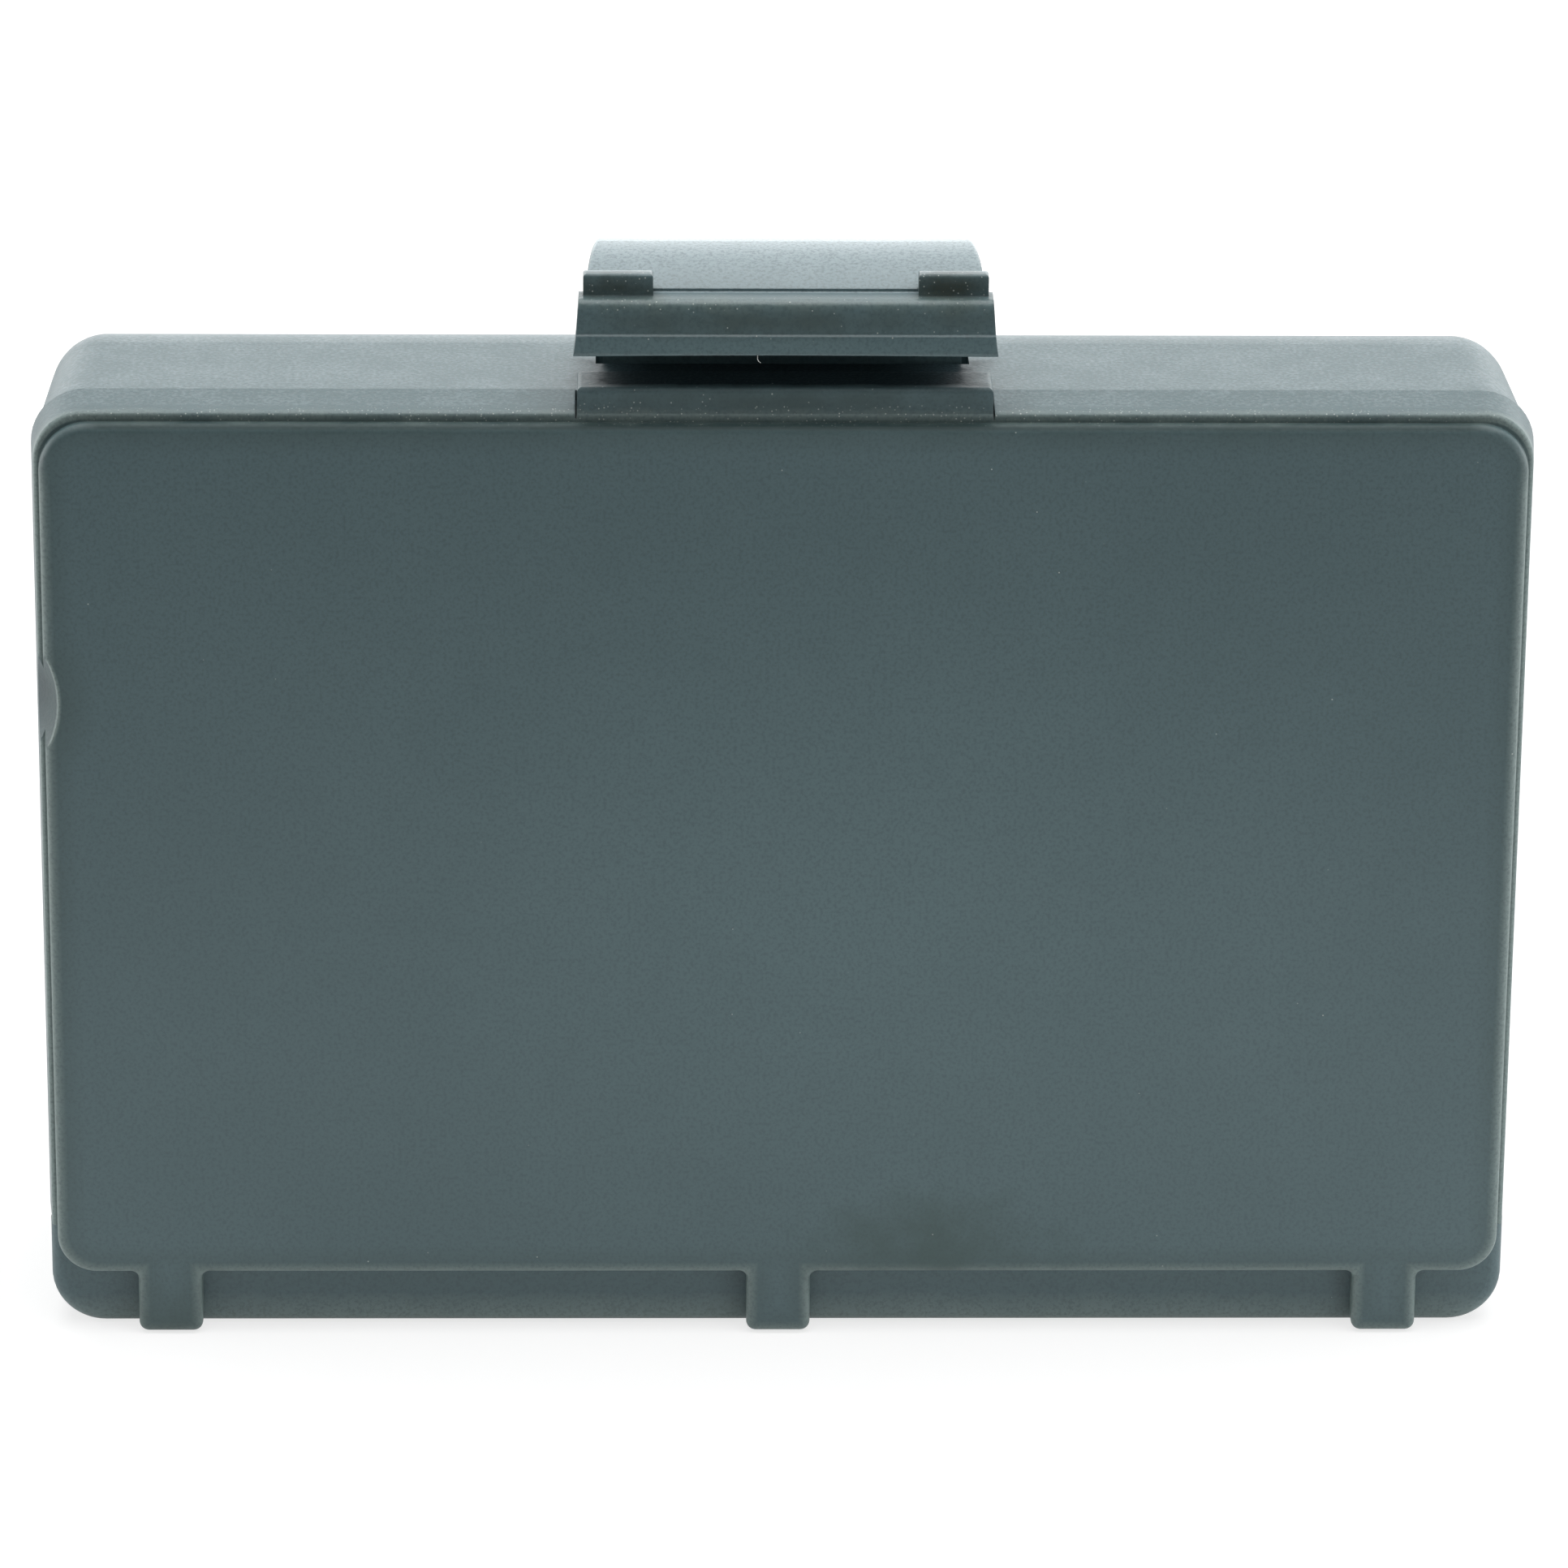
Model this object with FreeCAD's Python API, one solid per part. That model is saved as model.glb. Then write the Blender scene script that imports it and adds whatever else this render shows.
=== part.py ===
"""Two-cell lithium-ion battery pack for a mobile printer, with a sprung release latch.

Millimetres. X runs along the case, Y from the front panel to the rear wall, Z is up. The origin
is under the middle of the pack, on the plane it stands on. A "depth" is measured back from the
face of the front panel, and a "rise" up from the top of the case.
"""
import FreeCAD
import Part

import math
import os

from FreeCAD import Vector

# Cells
cell_diameter = 18.4
cell_length = 65.2
cell_gap = 0.3
cell_floor_gap = 0.3
cell_front_gap = 1.05
cell_end_space = 7.72
button_radius = 3.2
button_height = 0.6
crimp_height = 2.4
crimp_depth = 0.45
crimp_width = 1.2
can_edge_radius = 0.8
ring_thickness = 0.3
ring_bore_radius = 4.2

# Case
corner_radius = 3.2
rear_heel_radius = 3.5
rear_crown_radius = 10.0
wall = 2.1
rear_wall = 1.6
tub_step = 0.12
tub_draft = 0.04
fit_clearance = 0.1
seam_gap = 0.12

# Front cover
panel_thickness = 1.5
panel_edge_radius = 0.5
panel_head_radius = 2.8
panel_foot_radius = 2.25
panel_bottom = 3.86
land_depth = 0.8
land_top = 0.5
land_side = 0.31
skirt_wall = 1.1
skirt_edge_radius = 0.25
skirt_draft = 0.34
skirt_bottom = 6.6
seam_depth = 4.15
tongue_front = 2.2

# Hook tabs along the lower edge of the cover
tab_count = 3
tab_inset = 7.12
tab_width = 3.7
tab_bottom = 0.1
tab_corner_radius = 0.55
tab_root_radius = 0.45

# Thumbnail notch in the cover's edge
notch_height = 39.15
notch_radius = 7.4
notch_sagitta = 0.84
notch_angle = 35.0

# Ledge of the rear case, behind the tabs
ledge_wall = 1.2
ledge_top = 7.6
ledge_edge_radius = 0.8

# Release latch
latch_thickness = 1.4
latch_crest = 7.7
latch_bend_radius = 3.8
latch_slope_radius = 13.2
latch_step_depth = 2.0
latch_step = 0.16
leaf_front_width = 22.2
leaf_root_width = 19.4
leaf_edge_radius = 0.2
lip_top_width = 23.1
lip_band_width = 23.4
lip_foot_width = 23.7
lip_bottom = 3.32
lip_bow = 0.12
lip_thickness = 1.5
lip_edge_radius = 0.5
lip_foot_radius = 0.25
lip_band_top = 4.4
lip_band_proud = 0.12
lug_width = 3.9
lug_span = 22.6
lug_front = 1.2
lug_rise = 7.65
lug_edge_radius = 0.2

# Stop block under the lip, and the hinge of the latch
stop_width = 23.3
stop_rise = 1.1
stop_setback = 0.08
stop_edge_radius = 0.3
stop_slit = 0.1
stop_slit_depth = 0.35
swing_gap = 0.65
rest_gap = 0.3
hinge_depth = 10.4
hinge_drop = 2.0
bead_radius = 1.2
bead_clearance = 0.05
hinge_boss_wall = 1.0

# Saddle ribs that carry the cells
saddle_count = 3
saddle_pitch = 22.0
saddle_thickness = 1.6
saddle_reach = 5.0
saddle_clearance = 0.1

# Padding
foam_width = 52.0
foam_margin = 5.0
foam_ledge_gap = 0.4
tape_thickness = 0.2
tape_length = 14.0
tape_width = 8.0
pad_clearance = 0.05
card_thickness = 0.3
card_width = 60.0
card_reach = 11.0

# Welded strips
strip_thickness = 0.2
strip_width = 8.0
tail_width = 2.6
tail_clearance = 0.6
strip_corner_radius = 1.0
foot_length = 3.0
foot_height = 3.0
foot_rise = 3.2

# Circuit board
board_end_gap = 0.2
board_height = 11.0
board_thickness = 1.0
board_standoff = 4.2
board_lift = 0.15
board_head_room = 3.44
post_inset = 6.4
post_rise = 4.5
post_radius = 2.2
stake_radius = 0.9
stake_reach = 0.8
stake_clearance = 0.1

# Parts on the board: length, height and thickness
gauge_chip_size = (5.0, 6.4, 1.1)
protection_chip_size = (3.0, 4.4, 1.1)
switch_chip_size = (5.0, 6.0, 1.0)
resistor_size = (6.4, 3.2, 0.7)
fuse_size = (7.0, 4.0, 2.2)
chip_corner_radius = 0.2
bead_sensor_radius = 1.1
sensor_lead_radius = 0.25
sensor_lead_pitch = 1.0

part_gap = 1.6

# Contacts in the rear wall
contact_count = 5
contact_pitch = 4.2
contact_width = 2.4
contact_height = 3.6
contact_thickness = 0.35
contact_stem = 0.8
contact_stem_clearance = 0.05
contact_recess = 0.5
window_margin = 0.6
window_rise = 1.0
window_corner_radius = 0.6
holder_clearance = 0.12
holder_flange = 0.8

# Values that follow from the sizes above
cell_radius = cell_diameter / 2
lower_cell_z = wall + cell_floor_gap + cell_radius
upper_cell_z = lower_cell_z + cell_diameter + cell_gap
card_bottom = upper_cell_z + cell_radius + pad_clearance
board_bottom = card_bottom + card_thickness + board_lift
cell_depth = panel_thickness + cell_front_gap + cell_radius
rear_inner = cell_depth + cell_radius + tape_thickness + 2 * pad_clearance
case_width = cell_length + 2 * (cell_end_space + wall)
case_height = board_bottom + board_height + board_head_room + wall
case_depth = rear_inner + rear_wall
half_depth = case_depth / 2
tub_top = case_height - tub_step
tub_half_width = case_width / 2 - tub_step
ledge_depth = panel_thickness + pad_clearance
tab_pitch = (case_width - 2 * tab_inset) / (tab_count - 1)
board_width = cell_length - 2 * board_end_gap
post_span = board_width - 2 * post_inset
foam_thickness = cell_front_gap - 2 * pad_clearance
board_rear = rear_inner - board_standoff
board_depth = board_rear - board_thickness
strip_x = cell_length / 2 + pad_clearance
hinge_z = case_height - hinge_drop
window_width = (contact_count - 1) * contact_pitch + contact_width + 2 * window_margin
window_height = contact_height + 2 * window_margin
window_bottom = board_bottom + window_rise
window_z = window_bottom + window_height / 2
far = 2 * max(case_width, case_height, case_depth)
overcut = wall / 2
match = 1e-4


def at(x, depth, z):
    """Point from a place along the case, a depth behind the panel face and a height."""
    return Vector(x, depth - half_depth, z)


def front_view(u, v, depth):
    """Place a front-view point."""
    return at(u, depth, v)


def side_view(u, v, x):
    """Place a side-view point, with u as the depth."""
    return at(x, u, v)


def plan_view(u, v, z):
    """Place a plan-view point, with v as the depth."""
    return at(u, v, z)


def rounded_wire(corners, view, level):
    """Closed outline through corners (u, v, radius), with an arc at each radius above zero."""
    points = []
    for index, (u, v, radius) in enumerate(corners):
        before = corners[index - 1]
        after = corners[(index + 1) % len(corners)]
        back = Vector(before[0] - u, before[1] - v, 0).normalize()
        ahead = Vector(after[0] - u, after[1] - v, 0).normalize()
        half_angle = back.getAngle(ahead) / 2
        here = Vector(u, v, 0)
        if radius <= 0:
            points.append((here, None, here))
            continue
        reach = radius / math.tan(half_angle)
        bisector = (back + ahead).normalize()
        middle = here + bisector * (radius / math.sin(half_angle) - radius)
        points.append((here + back * reach, middle, here + ahead * reach))
    edges = []
    for index, (start, middle, end) in enumerate(points):
        placed = [view(p.x, p.y, level) for p in (start, end)]
        if middle is not None:
            arc = Part.Arc(placed[0], view(middle.x, middle.y, level), placed[1])
            edges.append(arc.toShape())
        following = points[(index + 1) % len(points)][0]
        target = view(following.x, following.y, level)
        if placed[1].distanceToPoint(target) > match:
            edges.append(Part.makeLine(placed[1], target))
    return Part.Wire(edges)


def prism(wire, direction):
    """Solid swept from a closed flat outline."""
    return Part.Face(wire).extrude(direction)


def block(x_range, depth_range, z_range):
    """Box between two places along X, two depths and two heights."""
    size = [high - low for low, high in (x_range, depth_range, z_range)]
    corner = at(x_range[0], depth_range[0], z_range[0])
    return Part.makeBox(size[0], size[1], size[2], corner)


def fuse_all(shapes):
    """One solid from shapes that meet."""
    first, *others = shapes
    return first.multiFuse(others).removeSplitter() if others else first


def edges_where(shape, test):
    """Edges whose every vertex passes a test on its depth, X and height."""
    return [edge for edge in shape.Edges
            if all(test(v.X, v.Y + half_depth, v.Z) for v in edge.Vertexes)]


def outline_corners(half_width, bottom, top, bottom_radius, top_radius):
    """Four rounded corners of an upright outline."""
    return [(-half_width, bottom, bottom_radius), (half_width, bottom, bottom_radius),
            (half_width, top, top_radius), (-half_width, top, top_radius)]


def skirt_wire(inset, depth):
    """Outline of the cover's skirt, moved in by a distance."""
    corners = outline_corners(case_width / 2 - inset, inset, case_height - inset,
                              corner_radius - inset, corner_radius - inset)
    return rounded_wire(corners, front_view, depth)


def side_profile(inset, front, rear, half):
    """Side view of the case between two depths, with its large rear top radius."""
    corners = [(front, inset, 0), (rear, inset, rear_heel_radius - inset),
               (rear, tub_top - inset, rear_crown_radius - inset), (front, tub_top - inset, 0)]
    return rounded_wire(corners, side_view, -half)


def tub_half(depth, inset):
    """Half the width of the rear case at a depth, moved in by a distance."""
    return tub_half_width - inset - tub_draft * (depth - ledge_depth)


def tub_form(inset, front, rear):
    """Drafted form of the rear case, moved in by a distance, with its end edges rolled over."""
    wide = tub_half(front, inset)
    narrow = tub_half(rear, inset)
    plan = [(-wide, front, 0), (wide, front, 0), (narrow, rear, 0), (-narrow, rear, 0)]
    form = prism(side_profile(inset, front, rear, wide), Vector(2 * wide, 0, 0))
    form = form.common(prism(rounded_wire(plan, plan_view, 0), Vector(0, 0, far)))
    ends = edges_where(form, lambda x, d, z: abs(abs(x) - tub_half(d, inset)) < match)
    ends = [edge for edge in ends if edge.BoundBox.XLength < narrow and edge.BoundBox.YLength > match
            or edge.BoundBox.YMin > at(0, rear, 0).y - match and edge.BoundBox.XLength < match]
    return form.makeFillet(corner_radius - tub_step - inset, ends)


def skirt_seat():
    """Space that the cover's skirt takes up around the tongue of the rear case."""
    space = block((-far / 2, far / 2), (0, seam_depth + seam_gap),
                  (skirt_bottom - seam_gap, far))
    tongue = prism(skirt_wire(skirt_wall + fit_clearance, tongue_front), Vector(0, seam_depth, 0))
    return space.cut(tongue)


def case_cavity():
    """Hollow of the rear case, open to the front above the ledge."""
    inset = wall - tub_step
    front = ledge_depth + ledge_wall
    hollow = tub_form(inset, front, rear_inner)
    corners = outline_corners(tub_half_width - inset, ledge_top, tub_top - inset,
                              0, corner_radius - wall)
    mouth = prism(rounded_wire(corners, front_view, 0), Vector(0, front + overcut, 0))
    return hollow.fuse(mouth)


def cell_cylinder(z, radius):
    """Cylinder along the case on a cell's axis."""
    return Part.makeCylinder(radius, far, at(-far / 2, cell_depth, z), Vector(1, 0, 0))


def saddle_ribs():
    """Ribs on the rear wall, hollowed to seat both cells."""
    ribs = []
    for index in range(saddle_count):
        x = (index - (saddle_count - 1) / 2) * saddle_pitch
        ribs.append(block((x - saddle_thickness / 2, x + saddle_thickness / 2),
                          (rear_inner - saddle_reach, rear_inner + rear_wall / 2),
                          (wall / 2, upper_cell_z + cell_radius - saddle_reach)))
    for z in (lower_cell_z, upper_cell_z):
        ribs = [rib.cut(cell_cylinder(z, cell_radius + saddle_clearance)) for rib in ribs]
    within = tub_form(rear_wall / 2, ledge_depth, rear_inner + rear_wall / 2)
    return [rib.common(within) for rib in ribs]


def board_posts():
    """Two posts on the rear wall with stakes that pass through the board."""
    posts = []
    for x in (-post_span / 2, post_span / 2):
        z = board_bottom + post_rise
        shoulder = board_rear + pad_clearance
        length = rear_inner + rear_wall / 2 - shoulder
        posts.append(Part.makeCylinder(post_radius, length, at(x, shoulder, z), Vector(0, 1, 0)))
        tip = board_depth - stake_reach
        posts.append(Part.makeCylinder(stake_radius, shoulder + length - tip, at(x, tip, z),
                                       Vector(0, 1, 0)))
    return posts


def hinge_boss():
    """Thickening under the top wall around the hinge channel."""
    reach = bead_radius + bead_clearance + hinge_boss_wall
    half = leaf_front_width / 2 + hinge_boss_wall
    return block((-half, half), (hinge_depth - reach, hinge_depth + reach),
                 (hinge_z - reach, tub_top - wall / 2))


def latch_opening():
    """Slit in the top wall for the leaf, with the round channel for the latch's root."""
    half = leaf_half_width(hinge_depth - bead_radius) + rest_gap
    front = hinge_depth - latch_thickness / 2 - swing_gap
    rear = hinge_depth + latch_thickness / 2 + rest_gap
    slit = block((-half, half), (front, rear), (hinge_z, far))
    channel = Part.makeCylinder(bead_radius + bead_clearance, 2 * half,
                                at(-half, hinge_depth, hinge_z), Vector(1, 0, 0))
    return slit.fuse(channel)


def contact_window():
    """Opening in the rear wall for the contacts."""
    corners = outline_corners(window_width / 2, window_bottom, window_bottom + window_height,
                              window_corner_radius, window_corner_radius)
    return prism(rounded_wire(corners, front_view, rear_inner - overcut), Vector(0, case_depth, 0))


def rear_case():
    """Deep tub with ledge, lap joint, cell saddles, board posts and the latch's seat."""
    shell = tub_form(0, ledge_depth, case_depth)
    front_loop = edges_where(shell, lambda x, d, z: abs(d - ledge_depth) < match)
    shell = shell.makeFillet(ledge_edge_radius, front_loop)
    shell = shell.cut(skirt_seat()).cut(case_cavity())
    shell = fuse_all([shell, hinge_boss()] + saddle_ribs() + board_posts())
    return shell.cut(latch_opening()).cut(contact_window())


def panel_corners():
    """Outline of the panel with its hook tabs, as rounded corners."""
    half = case_width / 2 - skirt_draft - land_side
    corners = [(-half, panel_bottom, panel_foot_radius)]
    for index in range(tab_count):
        x = (index - (tab_count - 1) / 2) * tab_pitch
        left = x - tab_width / 2
        right = x + tab_width / 2
        corners += [(left, panel_bottom, tab_root_radius), (left, tab_bottom, tab_corner_radius),
                    (right, tab_bottom, tab_corner_radius), (right, panel_bottom, tab_root_radius)]
    top = case_height - skirt_draft - land_top
    corners += [(half, panel_bottom, panel_foot_radius), (half, top, panel_head_radius),
                (-half, top, panel_head_radius)]
    return corners


def cover_panel():
    """Raised panel with a rounded front edge that runs on around the tabs."""
    panel = prism(rounded_wire(panel_corners(), front_view, 0), Vector(0, panel_thickness, 0))
    front_loop = edges_where(panel, lambda x, d, z: abs(d) < match)
    return panel.makeFillet(panel_edge_radius, front_loop)


def cover_skirt():
    """Drafted skirt on the top and both sides of the cover."""
    skirt = Part.makeLoft([skirt_wire(skirt_draft, land_depth), skirt_wire(0, seam_depth)], True, True)
    front_loop = edges_where(skirt, lambda x, d, z: abs(d - land_depth) < match)
    skirt = skirt.makeFillet(skirt_edge_radius, front_loop)
    inside = prism(skirt_wire(skirt_wall, panel_thickness), Vector(0, case_depth, 0))
    below = block((-far / 2, far / 2), (-overcut, case_depth), (-overcut, skirt_bottom))
    return skirt.cut(inside).cut(below)


def latch_stop():
    """Block on the skirt that the latch's lip comes down to."""
    half = stop_width / 2
    stop = block((-half, half), (land_depth + stop_setback, seam_depth),
                 (case_height - skirt_wall, case_height + stop_rise))
    rim = edges_where(stop, lambda x, d, z: z > case_height)
    return stop.makeFillet(stop_edge_radius, rim)


def stop_slits():
    """Narrow slits in the skirt at both ends of the stop."""
    slits = []
    for side in (-1, 1):
        near = side * stop_width / 2
        far_side = near + side * stop_slit
        slits.append(block((min(near, far_side), max(near, far_side)), (0, far),
                           (case_height - skirt_draft - stop_slit_depth, far)))
    return slits


def thumbnail_notch():
    """Slanted round cutter for the notch, leaning outwards as it goes back."""
    lean = math.radians(notch_angle)
    panel_edge = case_width / 2 - skirt_draft - land_side
    centre_x = -panel_edge + notch_sagitta - notch_radius / math.cos(lean)
    along = Vector(-math.sin(lean), math.cos(lean), 0)
    start = at(centre_x, 0, notch_height) - along * notch_radius
    return Part.makeCylinder(notch_radius, 3 * notch_radius, start, along)


def front_cover():
    """Panel, tabs and skirt, with the thumbnail notch and the stop under the latch."""
    cover = fuse_all([cover_panel(), cover_skirt()])
    for slit in stop_slits():
        cover = cover.cut(slit)
    return fuse_all([cover, latch_stop()]).cut(thumbnail_notch())


def latch_side_profile():
    """Side view of the latch: root, bend, sloping leaf, step and lip."""
    rear = hinge_depth + latch_thickness / 2
    bend_depth = rear - latch_bend_radius
    bend_z = case_height + latch_crest - latch_bend_radius
    slope_z = case_height + latch_crest - latch_slope_radius
    diagonal = math.sqrt(0.5)

    def on_bend(radius, across, up):
        return side_view(bend_depth + radius * across, bend_z + radius * up, 0)

    def on_slope(radius, depth):
        run = bend_depth - depth
        return side_view(depth, slope_z + math.sqrt(radius ** 2 - run ** 2), 0)

    edges = []
    inner_bend = latch_bend_radius - latch_thickness
    inner_slope = latch_slope_radius - latch_thickness
    outer_root = side_view(rear, hinge_z, 0)
    inner_root = side_view(rear - latch_thickness, hinge_z, 0)
    edges.append(Part.makeLine(outer_root, on_bend(latch_bend_radius, 1, 0)))
    edges.append(Part.Arc(on_bend(latch_bend_radius, 1, 0),
                          on_bend(latch_bend_radius, diagonal, diagonal),
                          on_bend(latch_bend_radius, 0, 1)).toShape())
    halfway = (bend_depth + latch_step_depth) / 2
    edges.append(Part.Arc(on_bend(latch_bend_radius, 0, 1), on_slope(latch_slope_radius, halfway),
                          on_slope(latch_slope_radius, latch_step_depth)).toShape())
    edges.append(Part.makeLine(on_slope(latch_slope_radius, latch_step_depth),
                               on_slope(inner_slope, latch_step_depth)))
    edges.append(Part.Arc(on_slope(inner_slope, latch_step_depth), on_slope(inner_slope, halfway),
                          on_bend(inner_bend, 0, 1)).toShape())
    edges.append(Part.Arc(on_bend(inner_bend, 0, 1), on_bend(inner_bend, diagonal, diagonal),
                          on_bend(inner_bend, 1, 0)).toShape())
    edges.append(Part.makeLine(on_bend(inner_bend, 1, 0), inner_root))
    edges.append(Part.makeLine(inner_root, outer_root))
    return Part.Wire(edges)


def leaf_half_width(depth):
    """Half the leaf's width at a depth: straight at the lip, drawing in along an arc to the root."""
    inward = (leaf_front_width - leaf_root_width) / 2
    run = hinge_depth + bead_radius - latch_step_depth
    radius = (run ** 2 + inward ** 2) / (2 * inward)
    drawn_in = radius - math.sqrt(radius ** 2 - (depth - latch_step_depth) ** 2)
    return leaf_front_width / 2 - drawn_in


def flank_edge(side):
    """Curved side of the leaf in plan, with its front and rear ends."""
    rear = hinge_depth + bead_radius
    depths = (latch_step_depth, (latch_step_depth + rear) / 2, rear)
    points = [plan_view(side * leaf_half_width(depth), depth, 0) for depth in depths]
    return Part.Arc(*points).toShape(), points[0], points[2]


def latch_leaf():
    """Sprung leaf, narrower at its root than at its lip, with its outer edges rounded."""
    leaf = prism(latch_side_profile(), Vector(leaf_front_width, 0, 0))
    leaf.translate(Vector(-leaf_front_width / 2, 0, 0))
    right, right_front, right_rear = flank_edge(1)
    left, left_front, left_rear = flank_edge(-1)
    plan = Part.Wire([Part.makeLine(left_front, right_front), right,
                      Part.makeLine(right_rear, left_rear), left])
    leaf = leaf.common(prism(plan, Vector(0, 0, far)))
    return leaf.makeFillet(leaf_edge_radius, outer_side_edges(leaf))


def outer_side_edges(leaf):
    """Long edges along both sides of the leaf's outer face."""
    rear = hinge_depth + latch_thickness / 2
    bend = at(0, rear - latch_bend_radius, case_height + latch_crest - latch_bend_radius)
    slope = bend + Vector(0, 0, latch_bend_radius - latch_slope_radius)

    def is_outer(edge):
        point = edge.valueAt((edge.FirstParameter + edge.LastParameter) / 2)
        on_side = abs(point.x) > leaf_root_width / 4
        if point.z < bend.z:
            return on_side and abs(point.y - at(0, rear, 0).y) < match
        centre, radius = (bend, latch_bend_radius)
        if point.y < bend.y:
            centre, radius = (slope, latch_slope_radius)
        reach = math.hypot(point.y - centre.y, point.z - centre.z)
        return on_side and abs(reach - radius) < match

    return [edge for edge in leaf.Edges if is_outer(edge)]


def leaf_front_top():
    """Height of the leaf's upper face where it meets the lip."""
    run = hinge_depth + latch_thickness / 2 - latch_bend_radius - latch_step_depth
    drop = latch_slope_radius - math.sqrt(latch_slope_radius ** 2 - run ** 2)
    return case_height + latch_crest - drop


def latch_lip():
    """Thumb lip with a rounded top, a fine step above its lower band and a bowed lower edge."""
    top = leaf_front_top() - latch_step
    bottom = case_height + lip_bottom - lip_bow
    band = case_height + lip_band_top
    web = leaf_front_top() - latch_thickness
    corners = [(lip_band_proud, top, lip_edge_radius),
               (lip_band_proud, band + lip_band_proud, 0),
               (0, band, 0),
               (0, bottom, lip_foot_radius),
               (lip_thickness, bottom, lip_foot_radius),
               (lip_thickness, web, 0),
               (latch_step_depth, web, 0),
               (latch_step_depth, top, 0)]
    half = lip_foot_width / 2
    lip = prism(rounded_wire(corners, side_view, -half), Vector(2 * half, 0, 0))
    sides = [(lip_top_width / 2, top), (lip_band_width / 2, band), (half, bottom)]
    right = [front_view(u, v, 0) for u, v in sides]
    left = [front_view(-u, v, 0) for u, v in reversed(sides)]
    foot = Part.Arc(right[-1], front_view(0, bottom + lip_bow, 0), left[0]).toShape()
    rim = Part.makePolygon(left + right).Edges
    return lip.common(prism(Part.Wire(rim + [foot]), Vector(0, far, 0)))


def latch_lugs():
    """Two catch lugs that stand on the ends of the lip."""
    lugs = []
    for side in (-1, 1):
        middle = side * (lug_span - lug_width) / 2
        base = leaf_front_top() - latch_step - lip_edge_radius
        lug = block((middle - lug_width / 2, middle + lug_width / 2),
                    (lug_front, latch_step_depth + latch_step),
                    (base, case_height + lug_rise))
        top = edges_where(lug, lambda x, d, z: z > base + match)
        lugs.append(lug.makeFillet(lug_edge_radius, top))
    return lugs


def release_latch():
    """Curved leaf with its lip and lugs, and a round root that turns in the case's channel."""
    bead = Part.makeCylinder(bead_radius, leaf_root_width,
                             at(-leaf_root_width / 2, hinge_depth, hinge_z), Vector(1, 0, 0))
    return fuse_all([latch_leaf(), latch_lip(), bead] + latch_lugs())


def cell(z, direction):
    """Round cell along X with its positive button towards +X or -X."""
    body = cell_length - button_height
    groove = body - crimp_height
    profile = [Vector(0, 0, 0), Vector(cell_radius - can_edge_radius, 0, 0),
               Vector(cell_radius, can_edge_radius, 0), Vector(cell_radius, groove - crimp_width, 0),
               Vector(cell_radius - crimp_depth, groove - crimp_width / 2, 0),
               Vector(cell_radius, groove, 0), Vector(cell_radius, body - can_edge_radius, 0),
               Vector(cell_radius - can_edge_radius, body, 0), Vector(button_radius, body, 0),
               Vector(button_radius, cell_length, 0), Vector(0, cell_length, 0), Vector(0, 0, 0)]
    solid = Part.Face(Part.makePolygon(profile)).revolve(Vector(0, 0, 0), Vector(0, 1, 0), 360)
    turn = FreeCAD.Rotation(Vector(0, 1, 0), Vector(direction, 0, 0))
    start = at(-direction * cell_length / 2, cell_depth, z)
    solid.Placement = FreeCAD.Placement(start, turn)
    return solid


def cell_ring(z, direction):
    """Insulating ring on the shoulder around a cell's button."""
    shoulder = direction * (cell_length / 2 - button_height)
    axis = Vector(direction, 0, 0)
    centre = at(shoulder, cell_depth, z)
    disc = Part.makeCylinder(cell_radius - can_edge_radius, ring_thickness, centre, axis)
    return disc.cut(Part.makeCylinder(ring_bore_radius, ring_thickness, centre, axis))


def strip_plate(corners, side):
    """Flat strip against the cell ends, from its side-view outline."""
    wire = rounded_wire(corners, side_view, side * strip_x)
    return prism(wire, Vector(side * strip_thickness, 0, 0))


def strip_foot(side, depth):
    """End of a strip that lies on the board."""
    outer = side * (strip_x + strip_thickness)
    inner = side * (board_width / 2 - foot_length)
    low = board_bottom + foot_rise
    return block((min(outer, inner), max(outer, inner)), (depth, depth + strip_thickness),
                 (low, low + foot_height))


def weld_pad(z):
    """Corner values of a strip's weld area: its two depths and two heights."""
    half = strip_width / 2
    return cell_depth - half, cell_depth + half, z - half, z + half


def board_tail(lower, upper_z):
    """Outline from a weld area up to the front face of the board."""
    front, rear, low, high = lower
    top = board_bottom + foot_rise + foot_height
    face = board_depth - pad_clearance
    radius = strip_corner_radius
    return [(front, low, radius), (rear, low, radius), (rear, upper_z, radius),
            (face, upper_z, radius), (face, top, 0), (face - tail_width, top, 0),
            (face - tail_width, high, radius), (front, high, radius)]


def series_strip():
    """Strip that joins the two cells and runs on to the board as the middle tap."""
    front, rear, low, _ = weld_pad(lower_cell_z)
    high = weld_pad(upper_cell_z)[3]
    plate = strip_plate(board_tail((front, rear, low, high), high - strip_width / 2), 1)
    return fuse_all([plate, strip_foot(1, board_depth - pad_clearance - strip_thickness)])


def positive_strip():
    """Strip from the upper cell's button to the front face of the board."""
    pad = weld_pad(upper_cell_z)
    plate = strip_plate(board_tail(pad, pad[3] - strip_width / 2), -1)
    return fuse_all([plate, strip_foot(-1, board_depth - pad_clearance - strip_thickness)])


def negative_strip():
    """Strip from the lower cell up behind the other strip to the rear face of the board."""
    front, rear, low, high = weld_pad(lower_cell_z)
    face = board_rear + pad_clearance
    outer = face + tail_width
    top = board_bottom + foot_rise + foot_height
    radius = strip_corner_radius
    corners = [(front, low, radius), (outer, low, radius), (outer, top, 0), (face, top, 0),
               (face, high, radius), (front, high, radius)]
    return fuse_all([strip_plate(corners, -1), strip_foot(-1, face)])


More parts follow.
